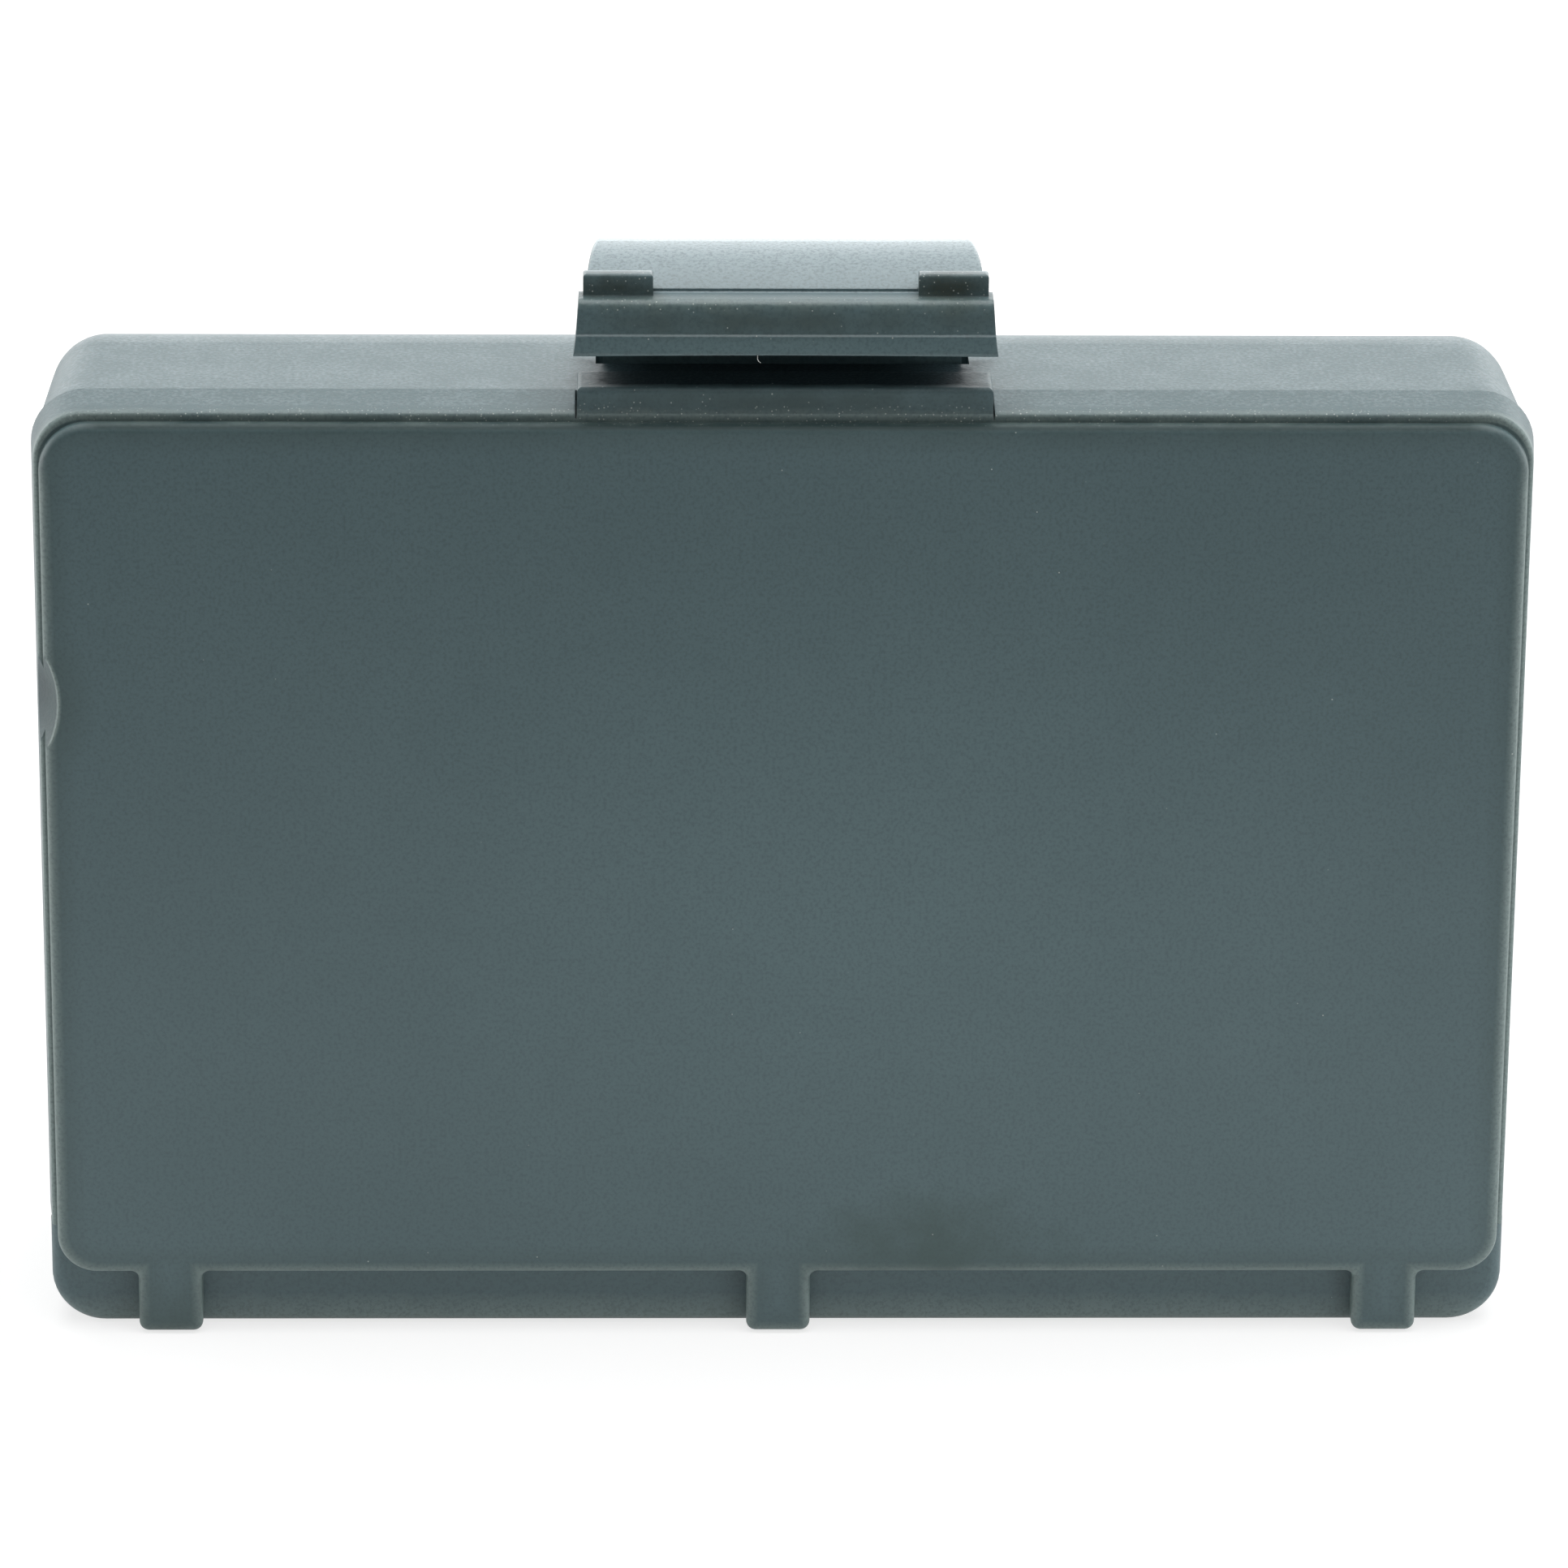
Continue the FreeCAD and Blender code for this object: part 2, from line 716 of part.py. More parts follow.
def circuit_board():
    """Board with holes for the two stakes and for the contact stems."""
    board = block((-board_width / 2, board_width / 2), (board_depth, board_rear),
                  (board_bottom, board_bottom + board_height))
    for x in (-post_span / 2, post_span / 2):
        hole = Part.makeCylinder(stake_radius + stake_clearance, far,
                                 at(x, 0, board_bottom + post_rise), Vector(0, 1, 0))
        board = board.cut(hole)
    return board


def board_row():
    """X of the middle of each part on the board, in order from the stake on the left."""
    sizes = {"thermal_fuse": fuse_size, "sense_resistor": resistor_size, "gauge_chip": gauge_chip_size,
             "protection_chip": protection_chip_size, "discharge_switch": switch_chip_size,
             "charge_switch": switch_chip_size, "thermistor": (2 * bead_sensor_radius, 0, 0)}
    edge = -post_span / 2 + stake_radius + part_gap
    places = {}
    for name, (length, _, _) in sizes.items():
        places[name] = edge + length / 2
        edge += length + part_gap
    return places


def chip(x, size):
    """Moulded part on the front face of the board, with its upright edges rounded."""
    length, height, thickness = size
    middle = board_bottom + board_height / 2
    rear = board_depth - pad_clearance
    corners = outline_corners(length / 2, middle - height / 2, middle + height / 2,
                              chip_corner_radius, chip_corner_radius)
    corners = [(x + u, v, radius) for u, v, radius in corners]
    return prism(rounded_wire(corners, front_view, rear - thickness), Vector(0, thickness, 0))


def thermistor(sensor_x):
    """Bead on the insulating card with two leads back to the board."""
    z = card_bottom + card_thickness + pad_clearance + bead_sensor_radius
    depth = board_depth - 3 * bead_sensor_radius
    pieces = [Part.makeSphere(bead_sensor_radius, at(sensor_x, depth, z))]
    for side in (-0.5, 0.5):
        start = at(sensor_x + side * sensor_lead_pitch, depth, z)
        length = board_depth - pad_clearance - depth
        pieces.append(Part.makeCylinder(sensor_lead_radius, length, start, Vector(0, 1, 0)))
    return fuse_all(pieces)


def contact_places():
    """X of each contact."""
    return [(index - (contact_count - 1) / 2) * contact_pitch for index in range(contact_count)]


def stem_prism(x, width, start, end):
    """Square bar of a contact's stem between two depths."""
    return block((x - width / 2, x + width / 2), (start, end), (window_z - width / 2, window_z + width / 2))


def contact_face():
    """Depth of the plane that the contacts lie on."""
    return case_depth - contact_recess - contact_thickness


def contact_holder():
    """Moulded block between board and rear wall whose nose stands in the window."""
    nose = outline_corners(window_width / 2 - holder_clearance, window_bottom + holder_clearance,
                           window_bottom + window_height - holder_clearance,
                           window_corner_radius, window_corner_radius)
    flange = outline_corners(window_width / 2 + holder_flange, window_bottom - holder_flange,
                             window_bottom + window_height + holder_flange,
                             window_corner_radius, window_corner_radius)
    start = board_rear + pad_clearance
    face = contact_face() - pad_clearance
    holder = fuse_all([
        prism(rounded_wire(flange, front_view, start), Vector(0, rear_inner - pad_clearance - start, 0)),
        prism(rounded_wire(nose, front_view, start), Vector(0, face - start, 0))])
    for x in contact_places():
        holder = holder.cut(stem_prism(x, contact_stem + 2 * contact_stem_clearance, 0, case_depth))
    return holder


def contact_blade(x):
    """Plated contact: a face that the printer's spring meets and a stem to the board."""
    face = contact_face()
    corners = outline_corners(contact_width / 2, window_z - contact_height / 2,
                              window_z + contact_height / 2, contact_thickness, contact_thickness)
    corners = [(x + u, v, radius) for u, v, radius in corners]
    pad = prism(rounded_wire(corners, front_view, face), Vector(0, contact_thickness, 0))
    return fuse_all([pad, stem_prism(x, contact_stem, board_rear + pad_clearance, face)])


def board_insulator():
    """Card between the upper cell and the board."""
    return block((-card_width / 2, card_width / 2), (board_rear - card_reach, board_rear),
                 (card_bottom, card_bottom + card_thickness))


def front_foam():
    """Pad between the panel and the cells."""
    front = panel_thickness + pad_clearance
    return block((-foam_width / 2, foam_width / 2), (front, front + foam_thickness),
                 (ledge_top + foam_ledge_gap, upper_cell_z + foam_margin))


def cell_tape(z):
    """Adhesive pad between a cell and the rear wall."""
    rear = rear_inner - pad_clearance
    middle = saddle_pitch / 2
    return block((middle - tape_length / 2, middle + tape_length / 2), (rear - tape_thickness, rear),
                 (z - tape_width / 2, z + tape_width / 2))


def build():
    """Every piece of the pack by its name."""
    row = board_row()
    pieces = {
        "rear_case": rear_case(),
        "front_cover": front_cover(),
        "release_latch": release_latch(),
        "lower_cell": cell(lower_cell_z, 1),
        "upper_cell": cell(upper_cell_z, -1),
        "lower_cell_ring": cell_ring(lower_cell_z, 1),
        "upper_cell_ring": cell_ring(upper_cell_z, -1),
        "series_strip": series_strip(),
        "positive_strip": positive_strip(),
        "negative_strip": negative_strip(),
        "circuit_board": circuit_board(),
        "gauge_chip": chip(row["gauge_chip"], gauge_chip_size),
        "protection_chip": chip(row["protection_chip"], protection_chip_size),
        "charge_switch": chip(row["charge_switch"], switch_chip_size),
        "discharge_switch": chip(row["discharge_switch"], switch_chip_size),
        "sense_resistor": chip(row["sense_resistor"], resistor_size),
        "thermal_fuse": chip(row["thermal_fuse"], fuse_size),
        "thermistor": thermistor(row["thermistor"]),
        "contact_holder": contact_holder(),
        "board_insulator": board_insulator(),
        "front_foam": front_foam(),
        "lower_cell_tape": cell_tape(lower_cell_z),
        "upper_cell_tape": cell_tape(upper_cell_z),
    }
    for number, x in enumerate(contact_places(), start=1):
        pieces[f"contact_blade_{number}"] = contact_blade(x)
    return pieces


os.makedirs("parts", exist_ok=True)
for name, shape in build().items():
    shape.exportStep(f"parts/{name}.step")
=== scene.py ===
"""Looks of a mobile printer battery: moulded finishes, hidden parts, studio and camera.

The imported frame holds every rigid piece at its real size. This script gives each of them the
finish of its real material, adds the small parts that only matter to the eye, lights the pack on
a white table and sets the camera.
"""
import logging
import math
from dataclasses import dataclass, field
from enum import Enum
from typing import Any

import bpy
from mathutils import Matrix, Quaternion, Vector


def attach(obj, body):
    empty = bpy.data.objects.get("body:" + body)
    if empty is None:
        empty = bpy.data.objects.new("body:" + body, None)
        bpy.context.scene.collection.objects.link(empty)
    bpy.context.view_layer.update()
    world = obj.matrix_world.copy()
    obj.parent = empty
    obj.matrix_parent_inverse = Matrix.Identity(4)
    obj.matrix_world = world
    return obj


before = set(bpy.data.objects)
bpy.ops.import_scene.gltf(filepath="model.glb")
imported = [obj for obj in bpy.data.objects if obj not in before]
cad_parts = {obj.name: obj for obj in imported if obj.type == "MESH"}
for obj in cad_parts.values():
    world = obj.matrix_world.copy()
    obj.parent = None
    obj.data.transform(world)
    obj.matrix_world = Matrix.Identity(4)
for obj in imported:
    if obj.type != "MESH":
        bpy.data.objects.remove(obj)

LOG = logging.getLogger("battery_scene")
MM = 0.001
Colour = tuple[float, float, float, float]
Point = tuple[float, float, float]
Span = tuple[float, float]
Pattern = bpy.types.Node | bpy.types.NodeSocket

# Nearly all of a noise pattern lies in the first of these ranges, and most of it in the second.
WHOLE_NOISE: Span = (0.3, 0.7)
MOST_NOISE: Span = (0.35, 0.65)
NOISE_ROUGHNESS = 0.6
# Inputs of a colour mix: the share of the colour on top, the colour below and the colour on top.
SHARE, BELOW, ON_TOP = 0, 6, 7


class Body(Enum):
    """Rigid bodies that pieces ride on."""

    PACK = "pack"
    LATCH = "latch"


class Slot(Enum):
    """Material slots of the record; the added pieces do not use them."""

    NICKEL = "nickel"
    FIBRE = "tape"


class Kind(Enum):
    """Kinds of node that the finishes, the table and the world are made of."""

    ADD_SHADER = "ShaderNodeAddShader"
    BACKGROUND = "ShaderNodeBackground"
    BEVEL = "ShaderNodeBevel"
    BRICK = "ShaderNodeTexBrick"
    BUMP = "ShaderNodeBump"
    COORDINATES = "ShaderNodeTexCoord"
    DIFFUSE = "ShaderNodeBsdfDiffuse"
    EMISSION = "ShaderNodeEmission"
    LIGHT_PATH = "ShaderNodeLightPath"
    MAPPING = "ShaderNodeMapping"
    MATERIAL_OUTPUT = "ShaderNodeOutputMaterial"
    MATH = "ShaderNodeMath"
    MIX = "ShaderNodeMix"
    MIX_SHADER = "ShaderNodeMixShader"
    NOISE = "ShaderNodeTexNoise"
    PRINCIPLED = "ShaderNodeBsdfPrincipled"
    RANGE = "ShaderNodeMapRange"
    SPLIT = "ShaderNodeSeparateXYZ"
    SPLIT_COLOUR = "ShaderNodeSeparateColor"
    VECTOR_MATH = "ShaderNodeVectorMath"
    VORONOI = "ShaderNodeTexVoronoi"
    WORLD_OUTPUT = "ShaderNodeOutputWorld"


def linear_colour(code: str) -> Colour:
    """Turn an sRGB hex code into linear light.

    Args:
        code: Six hex digits with a leading hash.

    Returns:
        Red, green, blue and an alpha of one.
    """
    channels = [int(code[i:i + 2], 16) / 255 for i in (1, 3, 5)]
    light = [c / 12.92 if c <= 0.04045 else ((c + 0.055) / 1.055) ** 2.4 for c in channels]
    return light[0], light[1], light[2], 1.0


def per_size(size_mm: float) -> float:
    """Give the scale of a pattern whose features have this real size."""
    return 1 / (size_mm * MM)


class Graph:
    """A node tree that is filled node by node."""

    def __init__(self, tree: bpy.types.NodeTree) -> None:
        """Start from an empty tree.

        Args:
            tree: Node tree of a material or world.
        """
        self.tree = tree
        self.tree.nodes.clear()

    def add(self, kind: Kind, *values: Any, named: dict[Any, Any] | None = None, **settings: Any) -> bpy.types.Node:
        """Add one node with its settings, values and links.

        Args:
            kind: Type of the node.
            values: Value of each input in order. A socket is linked, and of a node its first output in use.
            named: The same for inputs by name or number.
            settings: Properties of the node itself.

        Returns:
            The new node.
        """
        node = self.tree.nodes.new(kind.value)
        for name, value in settings.items():
            setattr(node, name, value)
        for key, value in {**dict(enumerate(values)), **(named or {})}.items():
            if isinstance(value, bpy.types.Node):
                value = next(socket for socket in value.outputs if socket.enabled)
            if isinstance(value, bpy.types.NodeSocket):
                self.tree.links.new(value, node.inputs[key])
            else:
                node.inputs[key].default_value = value
        return node


@dataclass(frozen=True)
class Finish:
    """A finish with its own procedural material."""

    name: str
    colour: str
    roughness: float

    def material(self) -> bpy.types.Material:
        """Build the material.

        Returns:
            The finished material.
        """
        made = bpy.data.materials.new(self.name)
        made.use_nodes = True
        graph = Graph(made.node_tree)
        place = graph.add(Kind.COORDINATES).outputs["Object"]
        graph.add(Kind.MATERIAL_OUTPUT, named={"Surface": self.surface(graph, place)})
        return made

    def surface(self, graph: Graph, place: Pattern) -> bpy.types.Node:
        """Build the shader of the finish.

        Args:
            graph: Empty node tree of the material.
            place: Coordinates in metres.

        Returns:
            The shader node.
        """
        raise NotImplementedError


@dataclass(frozen=True)
class Stain:
    """A soft patch painted on a moulding, in metres: an oval, or a box where it is square. It serves for dirt and
    wear and for painted light and shade.
    """

    centre: Point
    reach: Point
    colour: str
    share: float
    soft: float = 0.9
    fray: float = 0.3
    dull: bool = False
    square: bool = False


@dataclass(frozen=True)
class Dusting:
    """A zone with pale specks, where dust and worn plastic gather. Its place is in metres."""

    centre: Point
    reach: Point
    pitch_mm: float
    share: float


@dataclass(frozen=True)
class Border:
    """Outline of the panel with its tabs and notch, and the bands painted along it, in metres: a greener edge, pale
    lines that are partly wear and partly painted light, and painted shade along the panel's top edge.

    A pair of lengths is where a band starts to change and where that ends.
    """

    half_width: float = 0.04177
    bottom: float = 0.00386
    top: float = 0.0557
    front: float = -0.011425
    corner: float = 0.0025
    tab_pitch: float = 0.0353
    tab_half_width: float = 0.00185
    tab_bottom: float = 0.0001
    tab_root: float = 0.002
    notch_height: float = 0.03915
    notch_radius: float = 0.0074
    notch_depth: float = 0.00084
    notch_lean: float = math.radians(35)
    face_end: Span = (0.00002, 0.0002)
    band: float = 0.0018
    band_past: float = 0.0005
    band_past_share: float = 0.2
    # Pale line along the panel's sides and foot: partly wear, partly painted light from the side and the table.
    rub: float = 0.0007
    rub_and_light_share: float = 0.8
    rub_and_light_below_top: Span = (0.004, 0.0012)
    # Lighter land towards the panel's sides: painted light on the shaded land, with some wear.
    land_start: Span = (0.00002, 0.00012)
    land_end: Span = (0.0004, 0.00055)
    land_depth: Span = (0.0012, 0.0022)
    land_from_side: Span = (0.007, 0.002)
    land_share: float = 0.75
    notch_clear: float = 0.0001
    # Painted highlight round the rim of the notch.
    notch_highlight_width: float = 0.00015
    notch_highlight_depth: Span = (0.00008, 0.0002)
    # Painted shade along the panel's top edge.
    ridge_shade: float = 0.0003
    ridge_shade_share: float = 0.75
    ridge_shade_below_top: Span = (0.0014, 0.0007)
    ridge_shade_from_side: Span = (0.0035, 0.0015)


@dataclass(frozen=True)
class MouldedPlastic(Finish):
    """Injection-moulded plastic from a spark-eroded tool.

    The eroded tool leaves a fine even grain, so the sheen is broad and soft and edges catch a
    thin light line. Along the panel's outline the tone is slightly greener. Pale lines on its sides,
    its foot, its land and the rim of its notch are partly wear and partly painted light, and a darker
    band on its top edge is painted shade. Fine pale dust sits on the grain, and a pale film on faces
    that look up is partly settled dust and partly a painted sheen, strongest on faces that turn back
    and weakest on faces that turn to the front.
    """

    tone: str = "#4e6367"
    edge_colour: str = "#425556"
    # Pale colour of wear and of painted light along the panel's edges.
    rub_and_light_colour: str = "#7c8c89"
    # Painted shade on the panel's lit top edge.
    ridge_shade_colour: str = "#2b3938"
    pit_colour: str = "#36464a"
    pit_share: float = 0.4
    pit_levels: Span = (0.55, 0.33)
    dust_colour: str = "#b9bfba"
    # Pale film on faces that look up: settled dust and painted sheen.
    dust_and_sheen_colour: str = "#c6d3d8"
    film_share: float = 0.05
    film_fleck: float = 0.085
    film_fleck_mm: float = 0.24
    film_scuff_mm: float = 3.0
    film_tilt: Span = (0.6, 0.9)
    sheen_turn: Span = (-0.42, 0.05)
    sheen_front_share: float = 0.12
    film_front: Span = (-0.0098, -0.0094)
    film_front_share: float = 0.05
    # A real eroded grain is about a quarter of this. It is drawn as coarse as it needs to be to show.
    grain_mm: float = 0.2
    grain_depth_mm: float = 0.018
    drift_mm: float = 16.0
    cloud_mm: float = 2.5
    patch_mm: float = 4.0
    patch_levels: Span = (0.3, 0.6)
    patch_least: float = 0.6
    rim_mm: float = 0.0
    rim_samples: int = 4
    border: Border | None = None
    dust_pitch_mm: float = 1.3
    dust_share: float = 0.2
    dust_fade: Span = (1.0, 0.6)
    speck_mm: float = 0.055
    speck_core: float = 0.4
    speck_spread: float = 0.1
    speck_share: float = 0.75
    sheen_swing: float = 0.05
    ior: float = 1.5
    full_shine: float = 0.5
    dulled_shine: float = 0.04
    stains: tuple[Stain, ...] = ()
    dustings: tuple[Dusting, ...] = ()

    def surface(self, graph: Graph, place: Pattern) -> bpy.types.Node:
        """Build the shader of the finish.

        Args:
            graph: Empty node tree of the material.
            place: Coordinates in metres.

        Returns:
            The shader node.
        """
        grain, drift, cloud = [
            graph.add(Kind.NOISE, named={"Vector": place, "Scale": per_size(size), "Detail": detail,
                                         "Roughness": NOISE_ROUGHNESS})
            for size, detail in ((self.grain_mm, 2.0), (self.drift_mm, 2.0), (self.cloud_mm, 3.0))]
        tinted = graph.add(Kind.MIX, named={SHARE: graph.add(Kind.RANGE, drift, *MOST_NOISE),
                                            BELOW: linear_colour(self.colour),
                                            ON_TOP: linear_colour(self.tone)}, data_type="RGBA")
        # Patches that also lose their shine: painted shade on the panel's top edge and under the latch, and the
        # darker lug fronts.
        dulled: list[Pattern] = []
        layers: list[tuple[Pattern, str]] = []
        if self.border is not None:
            # The pale lines along the panel are partly wear and partly painted light; its dark top band is painted
            # shade.
            band, rub, ridge_shade = self.border_wear(graph, place, self.border)
            layers += [(band, self.edge_colour), (rub, self.rub_and_light_colour), (ridge_shade, self.ridge_shade_colour)]
            dulled.append(ridge_shade)
        layers.append((self.dust_and_sheen_mask(graph, place), self.dust_and_sheen_colour))
        for stain in self.stains:
            patch = self.stain_mask(graph, place, stain, cloud)
            layers.append((patch, stain.colour))
            if stain.dull:
                dulled.append(patch)
        layers.append((graph.add(Kind.RANGE, grain, *self.pit_levels, 0.0, self.pit_share), self.pit_colour))
        layers.append((self.all_specks(graph, place), self.dust_colour))
        for share, colour in layers:
            tinted = graph.add(Kind.MIX, named={SHARE: share, BELOW: tinted, ON_TOP: linear_colour(colour)},
                               data_type="RGBA")
        relief = {"Strength": 1.0, "Distance": self.grain_depth_mm * MM, "Height": grain}
        if self.rim_mm:
            relief["Normal"] = graph.add(Kind.BEVEL, self.rim_mm * MM, samples=self.rim_samples)
        sheen = graph.add(Kind.RANGE, grain, *WHOLE_NOISE, self.roughness - self.sheen_swing,
                          self.roughness + self.sheen_swing)
        shading = {"Base Color": tinted, "Roughness": sheen, "IOR": self.ior,
                   "Normal": graph.add(Kind.BUMP, named=relief)}
        if dulled:
            dullest = dulled[0]
            for patch in dulled[1:]:
                dullest = graph.add(Kind.MATH, dullest, patch, operation="MAXIMUM")
            shading["Specular IOR Level"] = graph.add(Kind.RANGE, dullest, 0.0, 1.0, self.full_shine,
                                                      self.dulled_shine)
        return graph.add(Kind.PRINCIPLED, named=shading)

    def dust_and_sheen_mask(self, graph: Graph, place: Pattern) -> Pattern:
        """Spread the pale film: settled dust, and a painted sheen that is strongest on faces that look up and turn
        back, speckled by the grain.

        Args:
            graph: Node tree of the material.
            place: Coordinates in metres.

        Returns:
            Share of the pale colour of dust and painted sheen.
        """
        facing = graph.add(Kind.SPLIT, graph.add(Kind.COORDINATES).outputs["Normal"]).outputs
        depth = graph.add(Kind.SPLIT, place).outputs["Y"]
        level = graph.add(Kind.RANGE, facing["Z"], *self.film_tilt)
        # Painted sheen: full on faces that turn back, faint on faces that turn to the front.
        turned = graph.add(Kind.RANGE, facing["Y"], *self.sheen_turn, self.sheen_front_share, 1.0)
        behind = graph.add(Kind.RANGE, depth, *self.film_front, self.film_front_share, 1.0)
        fine, wide = [
            graph.add(Kind.NOISE, named={"Vector": place, "Scale": per_size(size), "Detail": detail,
                                         "Roughness": NOISE_ROUGHNESS})
            for size, detail in ((self.film_fleck_mm, 2.0), (self.film_scuff_mm, 3.0))]
        flecks = graph.add(Kind.RANGE, fine, *MOST_NOISE, self.film_share - self.film_fleck,
                           self.film_share + self.film_fleck)
        scuffs = graph.add(Kind.RANGE, wide, *MOST_NOISE, -self.film_fleck / 2, self.film_fleck / 2)
        sheen_facing = graph.add(Kind.MATH, turned, behind, operation="MULTIPLY")
        held = graph.add(Kind.MATH, level, sheen_facing, operation="MULTIPLY")
        film = graph.add(Kind.MATH, flecks, scuffs, operation="ADD")
        return graph.add(Kind.MATH, held, film, operation="MULTIPLY")

    def border_wear(self, graph: Graph, place: Pattern, border: Border) -> tuple[Pattern, Pattern, Pattern]:
        """Shade the bands along the panel's outline, unevenly.

        Args:
            graph: Node tree of the material.
            place: Coordinates in metres.
            border: The panel's outline.

        Returns:
            Shares of the greener edge, of pale lines that are partly wear and partly painted light, and of painted
            shade along the panel's top edge.
        """
        outline, notch = self.border_distance(graph, place, border)
        axes = graph.add(Kind.SPLIT, place).outputs
        across = graph.add(Kind.MATH, axes["X"], operation="ABSOLUTE")
        from_side = [[border.half_width - length for length in span]
                     for span in (border.land_from_side, border.ridge_shade_from_side)]
        below_top = [[border.top - length for length in span]
                     for span in (border.rub_and_light_below_top, border.ridge_shade_below_top)]
        behind = [[border.front + length for length in span]
                  for span in (border.land_depth, border.notch_highlight_depth)]
        patches = graph.add(Kind.NOISE, named={"Vector": place, "Scale": per_size(self.patch_mm), "Detail": 2.0,
                                               "Roughness": NOISE_ROUGHNESS})
        face = graph.add(Kind.RANGE, outline, *border.face_end, 1.0, 0.0)

        rim = graph.add(Kind.MATH, outline, notch, operation="MAXIMUM")
        band = [graph.add(Kind.RANGE, rim, -border.band, 0.0),
                graph.add(Kind.RANGE, rim, 0.0, border.band_past, 1.0, border.band_past_share),
                graph.add(Kind.RANGE, patches, *self.patch_levels, self.patch_least, 1.0)]
        # Pale line on the panel's sides and foot: wear, and painted light where light from the side and the table
        # falls.
        rub = [graph.add(Kind.RANGE, outline, -border.rub, 0.0, 0.0, border.rub_and_light_share), face,
               graph.add(Kind.RANGE, axes["Z"], *below_top[0], 1.0, 0.0)]
        # Lighter land near the panel's sides: painted light on the shaded land.
        land = [graph.add(Kind.RANGE, outline, *border.land_start),
                graph.add(Kind.RANGE, outline, *border.land_end, 1.0, 0.0),
                graph.add(Kind.RANGE, across, *from_side[0], 0.0, border.land_share),
                graph.add(Kind.RANGE, axes["Y"], *behind[0], 1.0, 0.0)]
        # Painted highlight round the notch's rim.
        notch_highlight = [graph.add(Kind.RANGE, notch, -border.notch_highlight_width, 0.0),
                      graph.add(Kind.RANGE, axes["Y"], *behind[1], 1.0, 0.0)]
        # Dark band on the panel's top edge: painted shade over its lit edge.
        ridge_shade = [graph.add(Kind.RANGE, outline, -border.ridge_shade, -border.ridge_shade / 2, 0.0, border.ridge_shade_share),
                  face, graph.add(Kind.RANGE, axes["Z"], *below_top[1]),
                  graph.add(Kind.RANGE, across, *from_side[1], 1.0, 0.0)]
        shares = []
        for factors in (band, rub, land, notch_highlight, ridge_shade):
            share = factors[0]
            for factor in factors[1:]:
                share = graph.add(Kind.MATH, share, factor, operation="MULTIPLY")
            shares.append(share)
        rub_and_light = graph.add(Kind.MATH, shares[1], shares[2], operation="MAXIMUM")
        outside_notch = graph.add(Kind.RANGE, notch, -border.notch_clear, 0.0, 1.0, 0.0)
        rub_and_light = graph.add(Kind.MATH, rub_and_light, outside_notch, operation="MULTIPLY")
        rub_and_light = graph.add(Kind.MATH, rub_and_light, shares[3], operation="MAXIMUM")
        return shares[0], rub_and_light, shares[4]

    def border_distance(self, graph: Graph, place: Pattern, border: Border) -> tuple[Pattern, Pattern]:
        """Measure how far a point is from the panel's outline, seen from the front.

        Args:
            graph: Node tree of the material.
            place: Coordinates in metres.
            border: The panel's outline.

        Returns:
            Distances in metres: from the outline of panel and tabs, less than zero within it, and from
            the notch's slanted round cut, less than zero outside it.
        """
        axes = graph.add(Kind.SPLIT, place).outputs
        across = graph.add(Kind.MATH, axes["X"], operation="ABSOLUTE")
        middle = (border.top + border.bottom) / 2
        raised = graph.add(Kind.MATH, axes["Z"], middle, operation="SUBTRACT")
        lifted = graph.add(Kind.MATH, raised, operation="ABSOLUTE")
        past = [graph.add(Kind.MATH, length, half - border.corner, operation="SUBTRACT")
                for length, half in ((across, border.half_width), (lifted, border.top - middle))]
        outside = [graph.add(Kind.MATH, length, 0.0, operation="MAXIMUM") for length in past]
        larger = graph.add(Kind.MATH, *past, operation="MAXIMUM")
        inside = graph.add(Kind.MATH, larger, 0.0, operation="MINIMUM")
        panel = graph.add(Kind.MATH, self.hypotenuse(graph, outside), inside, operation="ADD")
        panel = graph.add(Kind.MATH, panel, border.corner, operation="SUBTRACT")

        from_outer = graph.add(Kind.MATH, across, border.tab_pitch, operation="SUBTRACT")
        from_outer = graph.add(Kind.MATH, from_outer, operation="ABSOLUTE")
        from_tab = graph.add(Kind.MATH, across, from_outer, operation="MINIMUM")
        tab = graph.add(Kind.MATH, from_tab, border.tab_half_width, operation="SUBTRACT")
        above = graph.add(Kind.MATH, axes["Z"], border.bottom + border.tab_root, operation="SUBTRACT")
        under = graph.add(Kind.MATH, border.tab_bottom, axes["Z"], operation="SUBTRACT")
        for length in (above, under):
            tab = graph.add(Kind.MATH, tab, length, operation="MAXIMUM")

        shrink, slope = math.cos(border.notch_lean), math.tan(border.notch_lean)
        axis_x = border.notch_depth - border.half_width - border.notch_radius / shrink
        slid = graph.add(Kind.MATH, axes["Y"], slope, axes["X"], operation="MULTIPLY_ADD")
        slid = graph.add(Kind.MATH, slid, axis_x + border.front * slope, operation="SUBTRACT")
        legs = [graph.add(Kind.MATH, slid, shrink, operation="MULTIPLY"),
                graph.add(Kind.MATH, axes["Z"], border.notch_height, operation="SUBTRACT")]
        notch = graph.add(Kind.MATH, border.notch_radius, self.hypotenuse(graph, legs), operation="SUBTRACT")
        return graph.add(Kind.MATH, panel, tab, operation="MINIMUM"), notch

    def hypotenuse(self, graph: Graph, legs: list[Pattern]) -> Pattern:
        """Measure a distance from its two legs.

        Args:
            graph: Node tree of the material.
            legs: Lengths at right angles.

        Returns:
            The distance.
        """
        squares = [graph.add(Kind.MATH, leg, 2.0, operation="POWER") for leg in legs]
        return graph.add(Kind.MATH, graph.add(Kind.MATH, *squares, operation="ADD"), operation="SQRT")

